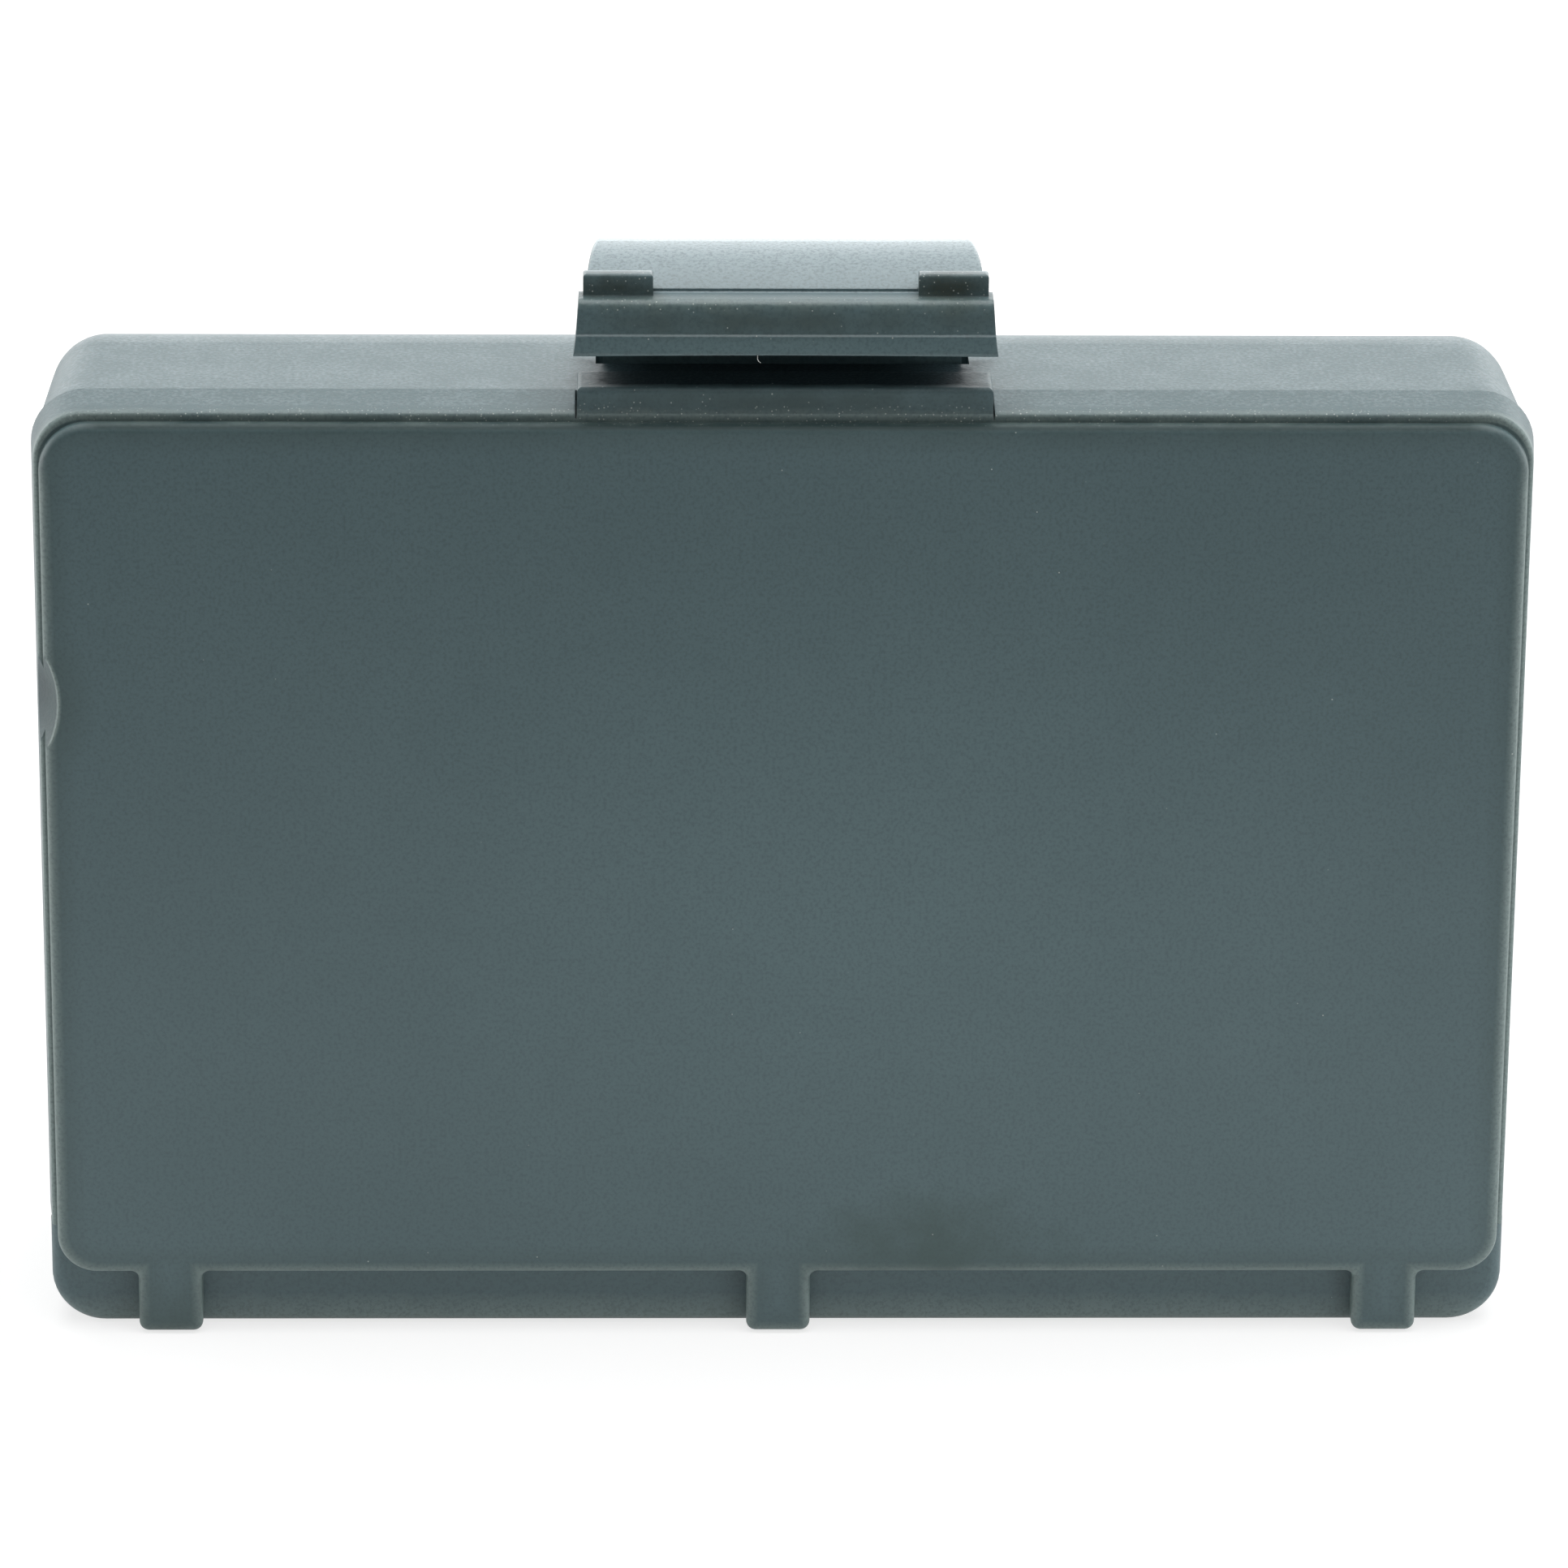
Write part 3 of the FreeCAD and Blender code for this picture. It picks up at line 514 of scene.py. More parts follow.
    def all_specks(self, graph: Graph, place: Pattern) -> Pattern:
        """Scatter specks thinly everywhere and densely where dust gathers.

        Args:
            graph: Node tree of the material.
            place: Coordinates in metres.

        Returns:
            Share of the dust colour.
        """
        specks = self.speck_mask(graph, place, self.dust_pitch_mm, self.dust_share)
        for zone in self.dustings:
            away = self.zone_distance(graph, place, zone.centre, zone.reach)
            held = graph.add(Kind.RANGE, away, *self.dust_fade)
            zoned = graph.add(Kind.MATH, held, self.speck_mask(graph, place, zone.pitch_mm, zone.share),
                              operation="MULTIPLY")
            specks = graph.add(Kind.MATH, specks, zoned, operation="MAXIMUM")
        return specks

    def speck_mask(self, graph: Graph, place: Pattern, pitch_mm: float, share: float) -> Pattern:
        """Scatter small specks, a few of them large enough to see one by one.

        Args:
            graph: Node tree of the material.
            place: Coordinates in metres.
            pitch_mm: Distance between places that may hold a speck.
            share: Share of these places that do.

        Returns:
            Share of the dust colour.
        """
        cells = graph.add(Kind.VORONOI, named={"Vector": place, "Scale": per_size(pitch_mm)}).outputs
        size = self.speck_mm / pitch_mm
        speck = graph.add(Kind.RANGE, cells["Distance"], self.speck_core * size, size, 1.0, 0.0)
        pick = graph.add(Kind.SPLIT_COLOUR, cells["Color"])
        kept = graph.add(Kind.RANGE, pick, 1 - share, 1 + self.speck_spread - share, 0.0, self.speck_share)
        return graph.add(Kind.MATH, speck, kept, operation="MULTIPLY")

    def zone_distance(self, graph: Graph, place: Pattern, centre: Point, reach: Point,
                      square: bool = False) -> Pattern:
        """Measure how far a point is from a zone's middle.

        Args:
            graph: Node tree of the material.
            place: Coordinates in metres.
            centre: Middle of the zone.
            reach: Half lengths of the zone.
            square: Whether the zone is a box instead of an oval.

        Returns:
            Zero at the middle, one at the zone's rim.
        """
        scaled = [1 / half for half in reach]
        shift = [-middle * size for middle, size in zip(centre, scaled)]
        moved = graph.add(Kind.MAPPING, named={"Vector": place, "Location": shift, "Scale": scaled})
        if not square:
            return graph.add(Kind.VECTOR_MATH, moved, operation="LENGTH")
        sizes = [graph.add(Kind.MATH, axis, operation="ABSOLUTE") for axis in graph.add(Kind.SPLIT, moved).outputs]
        larger = graph.add(Kind.MATH, *sizes[1:], operation="MAXIMUM")
        return graph.add(Kind.MATH, sizes[0], larger, operation="MAXIMUM")

    def stain_mask(self, graph: Graph, place: Pattern, stain: Stain, cloud: Pattern) -> Pattern:
        """Shade a soft patch with a cloudy edge.

        Args:
            graph: Node tree of the material.
            place: Coordinates in metres.
            stain: The patch.
            cloud: Pattern that frays its edge.

        Returns:
            Share of the patch's colour.
        """
        away = self.zone_distance(graph, place, stain.centre, stain.reach, stain.square)
        ragged = graph.add(Kind.RANGE, cloud, *WHOLE_NOISE, -stain.fray, stain.fray)
        frayed = graph.add(Kind.MATH, away, ragged, operation="ADD")
        return graph.add(Kind.RANGE, frayed, 1.0, 1.0 - stain.soft, 0.0, stain.share)


@dataclass(frozen=True)
class ShrinkSleeve(Finish):
    """Heat-shrunk PVC film on a cell: glossy, with fine rings where it drew in at the ends."""

    crease_mm: float = 0.9
    crease_stretch: Point = (1.0, 0.25, 0.25)
    crease_depth_mm: float = 0.03
    cloud_mm: float = 9.0
    pale_gain: float = 1.35
    pale_share: float = 0.5
    sheen_rise: float = 0.1
    ior: float = 1.54

    def surface(self, graph: Graph, place: Pattern) -> bpy.types.Node:
        """Build the shader of the finish.

        Args:
            graph: Empty node tree of the material.
            place: Coordinates in metres.

        Returns:
            The shader node.
        """
        stretched = graph.add(Kind.MAPPING, named={"Vector": place, "Scale": self.crease_stretch})
        crease = graph.add(Kind.NOISE, named={"Vector": stretched, "Scale": per_size(self.crease_mm), "Detail": 3.0,
                                              "Roughness": NOISE_ROUGHNESS})
        cloud = graph.add(Kind.NOISE, named={"Vector": place, "Scale": per_size(self.cloud_mm), "Detail": 2.0,
                                             "Roughness": NOISE_ROUGHNESS})
        base = linear_colour(self.colour)
        pale = tuple(min(1.0, channel * self.pale_gain) for channel in base[:3]) + (1.0,)
        tinted = graph.add(Kind.MIX, named={SHARE: graph.add(Kind.RANGE, cloud, *MOST_NOISE, 0.0, self.pale_share),
                                            BELOW: base, ON_TOP: pale}, data_type="RGBA")
        rough = graph.add(Kind.RANGE, cloud, *WHOLE_NOISE, self.roughness, self.roughness + self.sheen_rise)
        relief = graph.add(Kind.BUMP, named={"Strength": 1.0, "Distance": self.crease_depth_mm * MM,
                                             "Height": crease})
        return graph.add(Kind.PRINCIPLED, named={"Base Color": tinted, "Roughness": rough, "IOR": self.ior,
                                                 "Normal": relief})


@dataclass(frozen=True)
class FibrePaper(Finish):
    """Pressed fibre: a dull surface with short flecks that lie every way."""

    fleck_colour: str = "#c9c8bd"
    fleck_mm: float = 0.35
    fleck_levels: Span = (0.45, 0.75)
    fleck_share: float = 0.7
    depth_mm: float = 0.02
    cloud_mm: float = 5.0
    sheen_swing: float = 0.06

    def surface(self, graph: Graph, place: Pattern) -> bpy.types.Node:
        """Build the shader of the finish.

        Args:
            graph: Empty node tree of the material.
            place: Coordinates in metres.

        Returns:
            The shader node.
        """
        fleck = graph.add(Kind.NOISE, named={"Vector": place, "Scale": per_size(self.fleck_mm), "Detail": 5.0,
                                             "Roughness": NOISE_ROUGHNESS})
        cloud = graph.add(Kind.NOISE, named={"Vector": place, "Scale": per_size(self.cloud_mm), "Detail": 3.0,
                                             "Roughness": NOISE_ROUGHNESS})
        share = graph.add(Kind.RANGE, fleck, *self.fleck_levels, 0.0, self.fleck_share)
        tinted = graph.add(Kind.MIX, named={SHARE: share, BELOW: linear_colour(self.colour),
                                            ON_TOP: linear_colour(self.fleck_colour)}, data_type="RGBA")
        rough = graph.add(Kind.RANGE, cloud, *WHOLE_NOISE, self.roughness - self.sheen_swing,
                          self.roughness + self.sheen_swing)
        relief = graph.add(Kind.BUMP, named={"Strength": 1.0, "Distance": self.depth_mm * MM, "Height": fleck})
        return graph.add(Kind.PRINCIPLED, named={"Base Color": tinted, "Roughness": rough, "Normal": relief})


@dataclass(frozen=True)
class RolledMetal(Finish):
    """Rolled strip: bright metal with fine lines along the rolling direction and dull spots."""

    stretch: Point = (1.0, 1.0, 0.06)
    line_mm: float = 0.08
    line_depth_mm: float = 0.004
    spot_colour: str = "#8d8880"
    spot_mm: float = 3.0
    spot_levels: Span = (0.5, 0.75)
    spot_share: float = 0.6
    sheen: Span = (-0.08, 0.12)

    def surface(self, graph: Graph, place: Pattern) -> bpy.types.Node:
        """Build the shader of the finish.

        Args:
            graph: Empty node tree of the material.
            place: Coordinates in metres.

        Returns:
            The shader node.
        """
        drawn = graph.add(Kind.MAPPING, named={"Vector": place, "Scale": self.stretch})
        lines = graph.add(Kind.NOISE, named={"Vector": drawn, "Scale": per_size(self.line_mm), "Detail": 3.0,
                                             "Roughness": NOISE_ROUGHNESS})
        spots = graph.add(Kind.NOISE, named={"Vector": place, "Scale": per_size(self.spot_mm), "Detail": 5.0,
                                             "Roughness": NOISE_ROUGHNESS})
        share = graph.add(Kind.RANGE, spots, *self.spot_levels, 0.0, self.spot_share)
        tinted = graph.add(Kind.MIX, named={SHARE: share, BELOW: linear_colour(self.colour),
                                            ON_TOP: linear_colour(self.spot_colour)}, data_type="RGBA")
        rough = graph.add(Kind.RANGE, lines, *WHOLE_NOISE, *(self.roughness + step for step in self.sheen))
        relief = graph.add(Kind.BUMP, named={"Strength": 1.0, "Distance": self.line_depth_mm * MM, "Height": lines})
        return graph.add(Kind.PRINCIPLED, named={"Base Color": tinted, "Metallic": 1.0, "Roughness": rough,
                                                 "Normal": relief})


@dataclass(frozen=True)
class SolderMask(Finish):
    """Green solder mask over copper tracks: glossy, with the tracks raised and a lighter tone."""

    track_colour: str = "#2f7a4c"
    track_mm: float = 1.6
    track_gap: float = 0.12
    track_gap_soft: float = 0.3
    track_length: float = 2.6
    track_width: float = 0.7
    track_depth_mm: float = 0.03
    ripple_mm: float = 0.8
    sheen: Span = (-0.05, 0.08)
    ior: float = 1.52

    def surface(self, graph: Graph, place: Pattern) -> bpy.types.Node:
        """Build the shader of the finish.

        Args:
            graph: Empty node tree of the material.
            place: Coordinates in metres.

        Returns:
            The shader node.
        """
        turned = graph.add(Kind.MAPPING, named={"Vector": place, "Rotation": (math.pi / 2, 0, 0)})
        tracks = graph.add(Kind.BRICK, named={
            "Vector": turned, "Scale": per_size(self.track_mm), "Mortar Size": self.track_gap,
            "Mortar Smooth": self.track_gap_soft, "Brick Width": self.track_length,
            "Row Height": self.track_width}).outputs["Fac"]
        ripple = graph.add(Kind.NOISE, named={"Vector": place, "Scale": per_size(self.ripple_mm), "Detail": 2.0,
                                              "Roughness": NOISE_ROUGHNESS})
        tinted = graph.add(Kind.MIX, named={SHARE: tracks, BELOW: linear_colour(self.colour),
                                            ON_TOP: linear_colour(self.track_colour)}, data_type="RGBA")
        rough = graph.add(Kind.RANGE, ripple, *WHOLE_NOISE, *(self.roughness + step for step in self.sheen))
        relief = graph.add(Kind.BUMP, named={"Strength": 1.0, "Distance": self.track_depth_mm * MM,
                                             "Height": tracks})
        return graph.add(Kind.PRINCIPLED, named={"Base Color": tinted, "Roughness": rough, "IOR": self.ior,
                                                 "Normal": relief})


@dataclass(frozen=True)
class CastResin(Finish):
    """Moulded or dipped resin and fired ceramic: an even body with a fine pitted skin."""

    fleck_colour: str = "#2b2b2c"
    fleck_levels: Span = (0.4, 0.7)
    fleck_share: float = 0.6
    cloud_mm: float = 1.5
    pit_mm: float = 0.12
    pit_depth_mm: float = 0.008
    sheen_swing: float = 0.06
    ior: float = 1.55

    def surface(self, graph: Graph, place: Pattern) -> bpy.types.Node:
        """Build the shader of the finish.

        Args:
            graph: Empty node tree of the material.
            place: Coordinates in metres.

        Returns:
            The shader node.
        """
        pits, cloud = [
            graph.add(Kind.NOISE, named={"Vector": place, "Scale": per_size(size), "Detail": 3.0,
                                         "Roughness": NOISE_ROUGHNESS}) for size in (self.pit_mm, self.cloud_mm)]
        share = graph.add(Kind.RANGE, cloud, *self.fleck_levels, 0.0, self.fleck_share)
        tinted = graph.add(Kind.MIX, named={SHARE: share, BELOW: linear_colour(self.colour),
                                            ON_TOP: linear_colour(self.fleck_colour)}, data_type="RGBA")
        rough = graph.add(Kind.RANGE, pits, *WHOLE_NOISE, self.roughness - self.sheen_swing,
                          self.roughness + self.sheen_swing)
        relief = graph.add(Kind.BUMP, named={"Strength": 1.0, "Distance": self.pit_depth_mm * MM, "Height": pits})
        return graph.add(Kind.PRINCIPLED, named={"Base Color": tinted, "Roughness": rough, "IOR": self.ior,
                                                 "Normal": relief})


@dataclass(frozen=True)
class GoldFlash(Finish):
    """Thin gold on a contact, rubbed to the nickel below along the line of the mating springs."""

    worn_colour: str = "#b9b2a4"
    worn_levels: Span = (0.52, 0.68)
    worn_share: float = 0.75
    rub_mm: float = 0.5
    rub_stretch: Point = (1.0, 1.0, 0.08)
    rub_depth_mm: float = 0.003
    sheen: Span = (-0.06, 0.14)

    def surface(self, graph: Graph, place: Pattern) -> bpy.types.Node:
        """Build the shader of the finish.

        Args:
            graph: Empty node tree of the material.
            place: Coordinates in metres.

        Returns:
            The shader node.
        """
        drawn = graph.add(Kind.MAPPING, named={"Vector": place, "Scale": self.rub_stretch})
        rub = graph.add(Kind.NOISE, named={"Vector": drawn, "Scale": per_size(self.rub_mm), "Detail": 4.0,
                                           "Roughness": NOISE_ROUGHNESS})
        share = graph.add(Kind.RANGE, rub, *self.worn_levels, 0.0, self.worn_share)
        tinted = graph.add(Kind.MIX, named={SHARE: share, BELOW: linear_colour(self.colour),
                                            ON_TOP: linear_colour(self.worn_colour)}, data_type="RGBA")
        rough = graph.add(Kind.RANGE, rub, *WHOLE_NOISE, *(self.roughness + step for step in self.sheen))
        relief = graph.add(Kind.BUMP, named={"Strength": 1.0, "Distance": self.rub_depth_mm * MM, "Height": rub})
        return graph.add(Kind.PRINCIPLED, named={"Base Color": tinted, "Metallic": 1.0, "Roughness": rough,
                                                 "Normal": relief})


@dataclass(frozen=True)
class OpenFoam(Finish):
    """Open-cell foam: dull, with round pores that hold shadow."""

    pore_mm: float = 0.5
    pore_levels: Span = (0.45, 0.1)
    pore_shade: float = 0.35
    pore_depth_mm: float = 0.15
    sheen_levels: Span = (0.0, 0.6)
    sheen_drop: float = 0.1

    def surface(self, graph: Graph, place: Pattern) -> bpy.types.Node:
        """Build the shader of the finish.

        Args:
            graph: Empty node tree of the material.
            place: Coordinates in metres.

        Returns:
            The shader node.
        """
        pores = graph.add(Kind.VORONOI, named={"Vector": place, "Scale": per_size(self.pore_mm)})
        depth = pores.outputs["Distance"]
        base = linear_colour(self.colour)
        dark = tuple(channel * self.pore_shade for channel in base[:3]) + (1.0,)
        tinted = graph.add(Kind.MIX, named={SHARE: graph.add(Kind.RANGE, depth, *self.pore_levels), BELOW: base,
                                            ON_TOP: dark}, data_type="RGBA")
        rough = graph.add(Kind.RANGE, depth, *self.sheen_levels, self.roughness, self.roughness - self.sheen_drop)
        relief = graph.add(Kind.BUMP, named={"Strength": 1.0, "Distance": self.pore_depth_mm * MM, "Height": depth})
        return graph.add(Kind.PRINCIPLED, named={"Base Color": tinted, "Roughness": rough, "Normal": relief})


def node_box(name: str) -> tuple[Vector, Vector]:
    """Box of a piece of the frame.

    Args:
        name: Name of the node.

    Returns:
        Lowest and highest corner, in metres.
    """
    corners = [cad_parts[name].matrix_world @ Vector(corner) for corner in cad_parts[name].bound_box]
    low = Vector([min(corner[axis] for corner in corners) for axis in range(3)])
    high = Vector([max(corner[axis] for corner in corners) for axis in range(3)])
    return low, high


def bar_faces(start: int, stations: int) -> list[tuple[int, ...]]:
    """Faces of a bent bar with four corners at each station.

    Args:
        start: Number of its first corner.
        stations: Places along the bar.

    Returns:
        Corner numbers of each face.
    """
    ring = (0, 1, 3, 2)
    faces = [tuple(start + corner for corner in reversed(ring))]
    for station in range(stations - 1):
        here = start + 4 * station
        for first, second in zip(ring, ring[1:] + ring[:1]):
            faces.append((here + first, here + second, here + second + 4, here + first + 4))
    faces.append(tuple(start + 4 * (stations - 1) + corner for corner in ring))
    return faces


def add_piece(name: str, points: list[Point], faces: list[tuple[int, ...]], material: bpy.types.Material,
              body: Body) -> bpy.types.Object:
    """Add a mesh that rides on a body.

    Args:
        name: Name of the piece.
        points: Corners in metres.
        faces: Corner numbers of each face.
        material: Finish of the piece.
        body: Body that it rides on.

    Returns:
        The new object.
    """
    mesh = bpy.data.meshes.new(name)
    mesh.from_pydata(points, [], faces)
    mesh.update()
    mesh.materials.append(material)
    piece = bpy.data.objects.new(name, mesh)
    bpy.context.scene.collection.objects.link(piece)
    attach(piece, body.value)
    return piece


@dataclass
class SubAssembly:
    """Pieces of the frame that belong together, with the finish of each."""

    finishes: dict[str, Finish] = field(default_factory=dict)

    def dress(self) -> None:
        """Give every piece its finish."""
        made = {finish: finish.material() for finish in dict.fromkeys(self.finishes.values())}
        for name, finish in self.finishes.items():
            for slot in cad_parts[name].material_slots:
                slot.material = made[finish]
        LOG.info("%s: %d pieces dressed", type(self).__name__, len(self.finishes))

    def build(self) -> None:
        """Dress the pieces and add what only matters to the eye."""
        self.dress()


@dataclass
class CaseHalves(SubAssembly):
    """Rear case and front cover, in one grade of plastic."""

    cover_marks_and_painted_light: tuple[Stain, ...] = (
        # Painted light: a lighter patch over the middle of the panel.
        Stain(centre=(0.004, -0.0114, 0.027), reach=(0.036, 0.004, 0.024), colour="#566d71", share=0.6,
              fray=0.12),
        Stain(centre=(0.0088, -0.0114, 0.0052), reach=(0.0085, 0.003, 0.0045), colour="#394d4b", share=0.75),
        # Painted shade on the front of the stop, under the latch's lip.
        Stain(centre=(0.0, -0.0105, 0.0568), reach=(0.014, 0.0012, 0.0012), colour="#32413f", share=0.6),
        # Painted light along the land and edges at the panel's top.
        Stain(centre=(0.0, -0.0106, 0.056), reach=(0.2, 0.0007, 0.0005), colour="#6d7b78", share=0.6),
        Stain(centre=(-0.0353, -0.0112, 0.001), reach=(0.004, 0.003, 0.004), colour="#3a4c49", share=0.6),
        Stain(centre=(-0.0419, -0.0099, 0.0392), reach=(0.0014, 0.0015, 0.0036), colour="#2f3f43", share=0.8),
        # Painted shade in the gap under the latch, on the top of the stop.
        Stain(centre=(0.0, -0.0078, 0.0572), reach=(0.0122, 0.0024, 0.004), colour="#222d31", share=1.0,
              soft=0.2, fray=0.05, dull=True, square=True))
    case_painted_light_and_shade: tuple[Stain, ...] = (
        # Painted light along the case's bottom edge, lit by the table.
        Stain(centre=(0.0, -0.0105, 0.0), reach=(0.2, 0.003, 0.002), colour="#7c8c89", share=0.85, fray=0.08),
        # Painted shade on the case's top under the latch.
        Stain(centre=(0.0, -0.0062, 0.0562), reach=(0.0122, 0.0048, 0.004), colour="#222d31", share=1.0,
              soft=0.2, fray=0.05, dull=True, square=True))
    border: Border = Border()
    land_dust: Dusting = Dusting((0.0, -0.0107, 0.05615), (0.06, 0.0012, 0.0006), 0.22, 0.6)
    stop_dust: Dusting = Dusting((0.0, -0.0104, 0.0574), (0.02, 0.0014, 0.0014), 0.35, 0.3)
    foot_dust: Dusting = Dusting((0.0, -0.0112, 0.0045), (0.05, 0.0012, 0.001), 0.7, 0.15)

    def __post_init__(self) -> None:
        """Choose the finishes of the two halves."""
        self.finishes = {
            "rear_case": MouldedPlastic("moulded_pc_abs_spark_eroded_case", "#4b6064", 0.45,
                                        stains=self.case_painted_light_and_shade),
            "front_cover": MouldedPlastic("moulded_pc_abs_spark_eroded_cover", "#4b6064", 0.45, rim_mm=0.12,
                                          border=self.border, stains=self.cover_marks_and_painted_light,
                                          dustings=(self.land_dust, self.stop_dust, self.foot_dust)),
        }


@dataclass
class ReleaseLatch(SubAssembly):
    """Sprung latch, with lint caught on its lower edge, whose path and width are in millimetres."""

    lint_path: tuple[Point, ...] = ((-1.52, -11.17, 59.9), (-1.58, -11.2, 59.74), (-1.58, -11.22, 59.58),
                                    (-1.5, -11.2, 59.44), (-1.4, -11.18, 59.36))
    lint_width: float = 0.04
    grime_and_painted_light: tuple[Stain, ...] = (
        Stain((-0.0094, -0.0102, 0.0634), (0.0032, 0.0016, 0.0013), "#3c423c", 0.9, dull=True),
        Stain((0.0094, -0.0102, 0.0634), (0.0032, 0.0016, 0.0013), "#3c423c", 0.9, dull=True),
        # Painted shade on the upper face of the lip.
        Stain((0.0, -0.0112, 0.0618), (0.017, 0.0014, 0.0012), "#37433f", 0.65),
        # Painted highlight along the lip's top edge, with some wear.
        Stain((0.0, -0.0112, 0.0628), (0.02, 0.0012, 0.0006), "#64736f", 0.6),
        # Painted light on the lip's lower band.
        Stain((0.0, -0.0115, 0.0603), (0.02, 0.0012, 0.0008), "#5b7073", 0.7))
    dustings: tuple[Dusting, ...] = (
        Dusting((-0.0094, -0.0102, 0.0636), (0.0035, 0.002, 0.0012), 0.26, 0.75),
        Dusting((0.0094, -0.0102, 0.0636), (0.0035, 0.002, 0.0012), 0.26, 0.75),
        Dusting((0.0, -0.0112, 0.0627), (0.018, 0.0012, 0.0006), 0.3, 0.5),
        Dusting((0.0, -0.0114, 0.0611), (0.018, 0.001, 0.0006), 0.4, 0.45))

    def __post_init__(self) -> None:
        """Choose the finish of the latch."""
        self.finishes = {
            # The latch's pale film is a painted sheen, lightest towards its crest, with some dust in it.
            "release_latch": MouldedPlastic("moulded_acetal_spark_eroded_latch", "#52686c", 0.35, rim_mm=0.12,
                                            dust_share=0.3, film_share=0.67, film_fleck=0.05,
                                            stains=self.grime_and_painted_light, dustings=self.dustings),
        }

    def build(self) -> None:
        """Dress the latch and hang the thread of lint."""
        self.dress()
        cotton = FibrePaper("lint_cotton_thread", "#c9cdc9", 0.9, fleck_colour="#e2e4e0", fleck_mm=0.1)
        half = self.lint_width / 2
        points = [((x + across) * MM, (y + along) * MM, z * MM) for x, y, z in self.lint_path
                  for across in (-half, half) for along in (half, -half)]
        add_piece("lint_thread", points, bar_faces(0, len(self.lint_path)), cotton.material(), Body.LATCH)


@dataclass
class CellPair(SubAssembly):
    """Two cells with their insulating rings, welded strips and pads."""

    def __post_init__(self) -> None:
        """Choose the finishes of cells, strips and pads."""
        sleeve = ShrinkSleeve("shrink_sleeve_pvc_film", "#2f7f72", 0.3)
        ring = FibrePaper("insulating_ring_fibre_paper", "#9aa394", 0.8)
        nickel = RolledMetal("nickel_strip_cold_rolled", "#b9b4ab", 0.32)
        tape = FibrePaper("tissue_tape_acrylic", "#dad9d2", 0.75, fleck_colour="#f0efe8", fleck_mm=0.6)
        self.finishes = {
            "lower_cell": sleeve, "upper_cell": sleeve, "lower_cell_ring": ring, "upper_cell_ring": ring,
            "series_strip": nickel, "positive_strip": nickel, "negative_strip": nickel,
            "lower_cell_tape": tape, "upper_cell_tape": tape,
            "front_foam": OpenFoam("polyurethane_foam_open_cell", "#3a3b3d", 0.95),
        }


@dataclass
class ProtectionBoard(SubAssembly):
    """Circuit board with its parts, and the legs of its chips, whose sizes are in millimetres."""

    leg_width: float = 0.3
    leg_thickness: float = 0.15
    leg_reach: tuple[float, ...] = (0.02, 0.35, 0.45, 0.9)
    leg_lift: float = 0.06
    legged: dict[str, int] = field(default_factory=lambda: {"gauge_chip": 7, "protection_chip": 4,
                                                             "charge_switch": 4, "discharge_switch": 4})

    def __post_init__(self) -> None:
        """Choose the finishes of the board and its parts."""
        chip = CastResin("epoxy_transfer_moulded", "#1b1c1d", 0.55)
        self.finishes = {
            "circuit_board": SolderMask("solder_mask_on_glass_epoxy", "#14502e", 0.35),
            "gauge_chip": chip, "protection_chip": chip, "charge_switch": chip, "discharge_switch": chip,
            "sense_resistor": CastResin("resistor_ceramic_fired", "#26272a", 0.4, fleck_colour="#3a3c40"),
            "thermal_fuse": CastResin("fuse_body_moulded_pbt", "#cfcabb", 0.5, fleck_colour="#dcd8cc"),
            "thermistor": CastResin("sensor_bead_dipped_epoxy", "#20201f", 0.25, pit_depth_mm=0.003),
            "board_insulator": FibrePaper("board_card_fibre_paper", "#8f9a8c", 0.8),
        }

    def build(self) -> None:
        """Dress the board and bend legs for its chips."""
        self.dress()
        tinned = RolledMetal("chip_leg_tinned_copper", "#c3c2bd", 0.35, stretch=(1.0, 1.0, 1.0)).material()
        for chip, count in self.legged.items():
            self.legs(chip, count, tinned)

    def legs(self, chip: str, count: int, material: bpy.types.Material) -> None:
        """Bend two rows of gull-wing legs for one chip.

        Args:
            chip: Node that the legs leave.
            count: Legs in each row.
            material: Finish of the legs.
        """
        low, high = node_box(chip)
        board = node_box("circuit_board")[0].y
        middle = (low.y + high.y) / 2
        pitch = (high.x - low.x) / count
        thick = self.leg_thickness * MM
        foot = board - self.leg_lift * MM
        points: list[Point] = []
        faces: list[tuple[int, ...]] = []
        for row in (-1, 1):
            side = high.z if row > 0 else low.z
            depth = (middle, middle, foot, foot)
            for index in range(count):
                centre = low.x + (index + 0.5) * pitch
                start = len(points)
                for out, y in zip(self.leg_reach, depth):
                    z = side + row * out * MM
                    for x in (centre - self.leg_width * MM / 2, centre + self.leg_width * MM / 2):
                        points += [(x, y, z), (x, y - thick, z)]
                faces += bar_faces(start, len(self.leg_reach))
        add_piece(f"{chip}_legs", points, faces, material, Body.PACK)


@dataclass
class ContactBlock(SubAssembly):
    """Moulded holder in the rear window with its five contacts."""

    count: int = 5

    def __post_init__(self) -> None:
        """Choose the finishes of holder and contacts."""
        gold = GoldFlash("contact_gold_flash_on_nickel", "#c9a352", 0.28)
        self.finishes = {f"contact_blade_{number}": gold for number in range(1, self.count + 1)}
        self.finishes["contact_holder"] = CastResin("holder_moulded_glass_nylon", "#191a1b", 0.5)


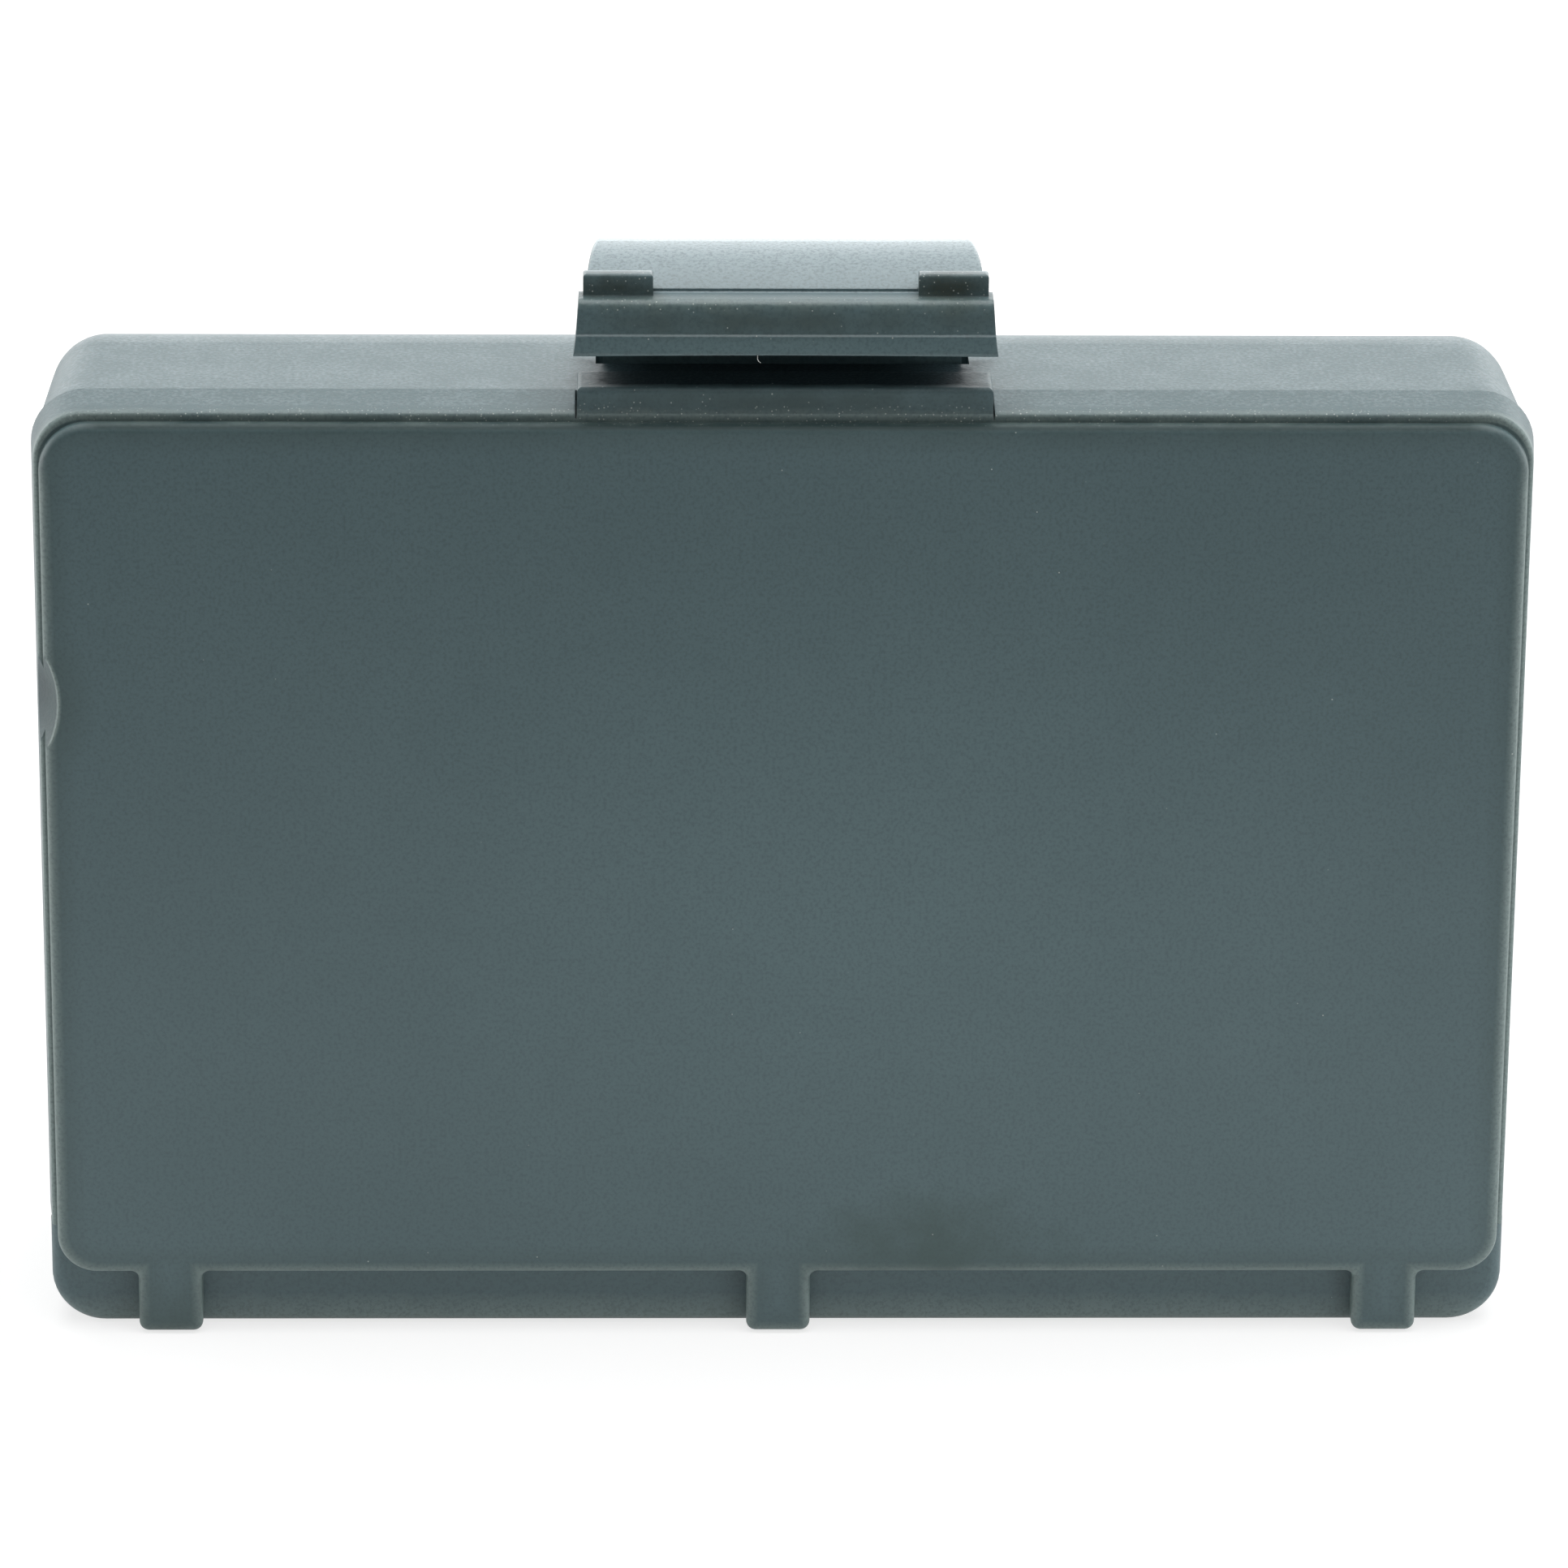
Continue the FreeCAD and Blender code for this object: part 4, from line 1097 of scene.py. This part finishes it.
@dataclass
class PhotoCamera:
    """Camera at the photograph's angle."""

    azimuth: float = -1.25
    elevation: float = 21.0
    roll: float = 0.48
    distance: float = 0.4727
    target: Point = (0.00009, -0.011425, 0.03431)
    lens: float = 191.1
    sensor_width: float = 36.0
    clip_start: float = 0.01

    def build(self) -> None:
        """Place the camera and make it the scene's."""
        data = bpy.data.cameras.new("photo_camera")
        data.lens = self.lens
        data.sensor_width = self.sensor_width
        data.clip_start = self.clip_start
        camera = bpy.data.objects.new("photo_camera", data)
        side = math.radians(self.azimuth)
        lift = math.radians(self.elevation)
        towards = Vector((math.sin(side) * math.cos(lift), -math.cos(side) * math.cos(lift), math.sin(lift)))
        camera.location = Vector(self.target) + towards * self.distance
        turn = Quaternion((0, 0, 1), math.radians(self.roll))
        camera.rotation_mode = "QUATERNION"
        camera.rotation_quaternion = (-towards).to_track_quat("-Z", "Y") @ turn
        bpy.context.scene.collection.objects.link(camera)
        bpy.context.scene.camera = camera


@dataclass(frozen=True)
class Softbox:
    """A lamp with a flat face: where it hangs, the point it faces, its face in metres and its watts."""

    name: str
    place: Point
    aim: Point
    size: Span
    power: float

    def build(self) -> None:
        """Hang the lamp."""
        data = bpy.data.lights.new(self.name, "AREA")
        data.shape = "RECTANGLE"
        data.size, data.size_y = self.size
        data.energy = self.power
        lamp = bpy.data.objects.new(self.name, data)
        lamp.location = self.place
        lamp.rotation_mode = "QUATERNION"
        lamp.rotation_quaternion = (Vector(self.aim) - Vector(self.place)).to_track_quat("-Z", "Y")
        lamp.visible_camera = False
        bpy.context.scene.collection.objects.link(lamp)


@dataclass
class Studio:
    """White table, softboxes and a bright backdrop."""

    floor_half_width: float = 1.5
    floor_front: float = -0.105
    floor_rear: float = 1.5
    floor_colour: str = "#f0f0f0"
    floor_glow: float = 0.72
    floor_fade: Span = (0.15, 0.4)
    floor_shade: str = "#a0a0a0"
    room: float = 0.27
    front_seen: float = 0.12
    front_fade: Span = (-0.8, 0.1)
    lamps: tuple[Softbox, ...] = (
        Softbox("overhead_softbox", (0.1, 0.1, 0.8), (0.1, 0.1, 0.0), (1.0, 1.0), 9.4),
        Softbox("backdrop_lamp", (0.0, 1.1, 0.24), (0.0, 0.0, 0.06), (1.6, 0.45), 4.0),
        Softbox("left_softbox", (-0.5, 0.06, 0.1), (0.0, 0.0, 0.04), (0.5, 0.3), 1.2),
        Softbox("right_softbox", (0.5, 0.06, 0.1), (0.0, 0.0, 0.04), (0.5, 0.3), 1.2),
        Softbox("fill_card", (0.24, -0.24, 0.05), (0.02, 0.0, 0.02), (0.16, 0.08), 0.16))

    def build(self) -> None:
        """Add the floor, lights and world."""
        self.floor()
        for lamp in self.lamps:
            lamp.build()
        self.world()
        bpy.context.scene.view_settings.view_transform = "Standard"

    def floor(self) -> None:
        """Add the table top under the pack, white to the eye and with the pack's shadow on it."""
        half = self.floor_half_width
        mesh = bpy.data.meshes.new("table_top")
        mesh.from_pydata([(-half, self.floor_front, 0), (half, self.floor_front, 0), (half, self.floor_rear, 0),
                          (-half, self.floor_rear, 0)], [], [(0, 1, 2, 3)])
        floor = bpy.data.objects.new("table_top", mesh)
        bpy.context.scene.collection.objects.link(floor)
        made = bpy.data.materials.new("white_table_laminate")
        made.use_nodes = True
        graph = Graph(made.node_tree)
        paint = graph.add(Kind.DIFFUSE, linear_colour(self.floor_colour))
        shade = graph.add(Kind.DIFFUSE, linear_colour(self.floor_shade))
        away = graph.add(Kind.VECTOR_MATH, graph.add(Kind.COORDINATES).outputs["Object"], operation="LENGTH")
        strength = graph.add(Kind.RANGE, away, *self.floor_fade, self.floor_glow, 1.0)
        glow = graph.add(Kind.EMISSION, named={"Strength": strength})
        seen = graph.add(Kind.ADD_SHADER, shade, glow)
        mixed = graph.add(Kind.MIX_SHADER, self.seen_rays(graph), paint, seen)
        graph.add(Kind.MATERIAL_OUTPUT, named={"Surface": mixed})
        mesh.materials.append(made)

    def seen_rays(self, graph: Graph) -> Pattern:
        """Pick the rays that see the background: from the camera, in reflections and through glass.

        Args:
            graph: Node tree of the floor or world.

        Returns:
            One for these rays, else zero.
        """
        path = graph.add(Kind.LIGHT_PATH).outputs
        seen = path["Is Camera Ray"]
        for kind in ("Is Glossy Ray", "Is Transmission Ray"):
            seen = graph.add(Kind.MATH, seen, path[kind], operation="MAXIMUM")
        return seen

    def world(self) -> None:
        """Set the room light, with a white backdrop behind and a dimmer room on the camera's side."""
        world = bpy.data.worlds.new("studio")
        world.use_nodes = True
        graph = Graph(world.node_tree)
        room = graph.add(Kind.BACKGROUND, named={"Strength": self.room})
        towards = graph.add(Kind.COORDINATES).outputs["Generated"]
        behind = graph.add(Kind.SPLIT, towards).outputs["Y"]
        level = graph.add(Kind.RANGE, behind, *self.front_fade, self.front_seen, 1.0)
        camera = graph.add(Kind.LIGHT_PATH).outputs["Is Camera Ray"]
        white = graph.add(Kind.MATH, level, camera, operation="MAXIMUM")
        seen = graph.add(Kind.BACKGROUND, named={"Color": (1, 1, 1, 1), "Strength": white})
        mixed = graph.add(Kind.MIX_SHADER, self.seen_rays(graph), room, seen)
        graph.add(Kind.WORLD_OUTPUT, named={"Surface": mixed})
        bpy.context.scene.world = world


def main() -> None:
    """Dress every node, then add the studio and the camera."""
    logging.basicConfig(level=logging.INFO)
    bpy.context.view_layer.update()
    for part in (CaseHalves(), ReleaseLatch(), CellPair(), ProtectionBoard(), ContactBlock()):
        part.build()
    Studio().build()
    PhotoCamera().build()


if __name__ == "__main__":
    main()
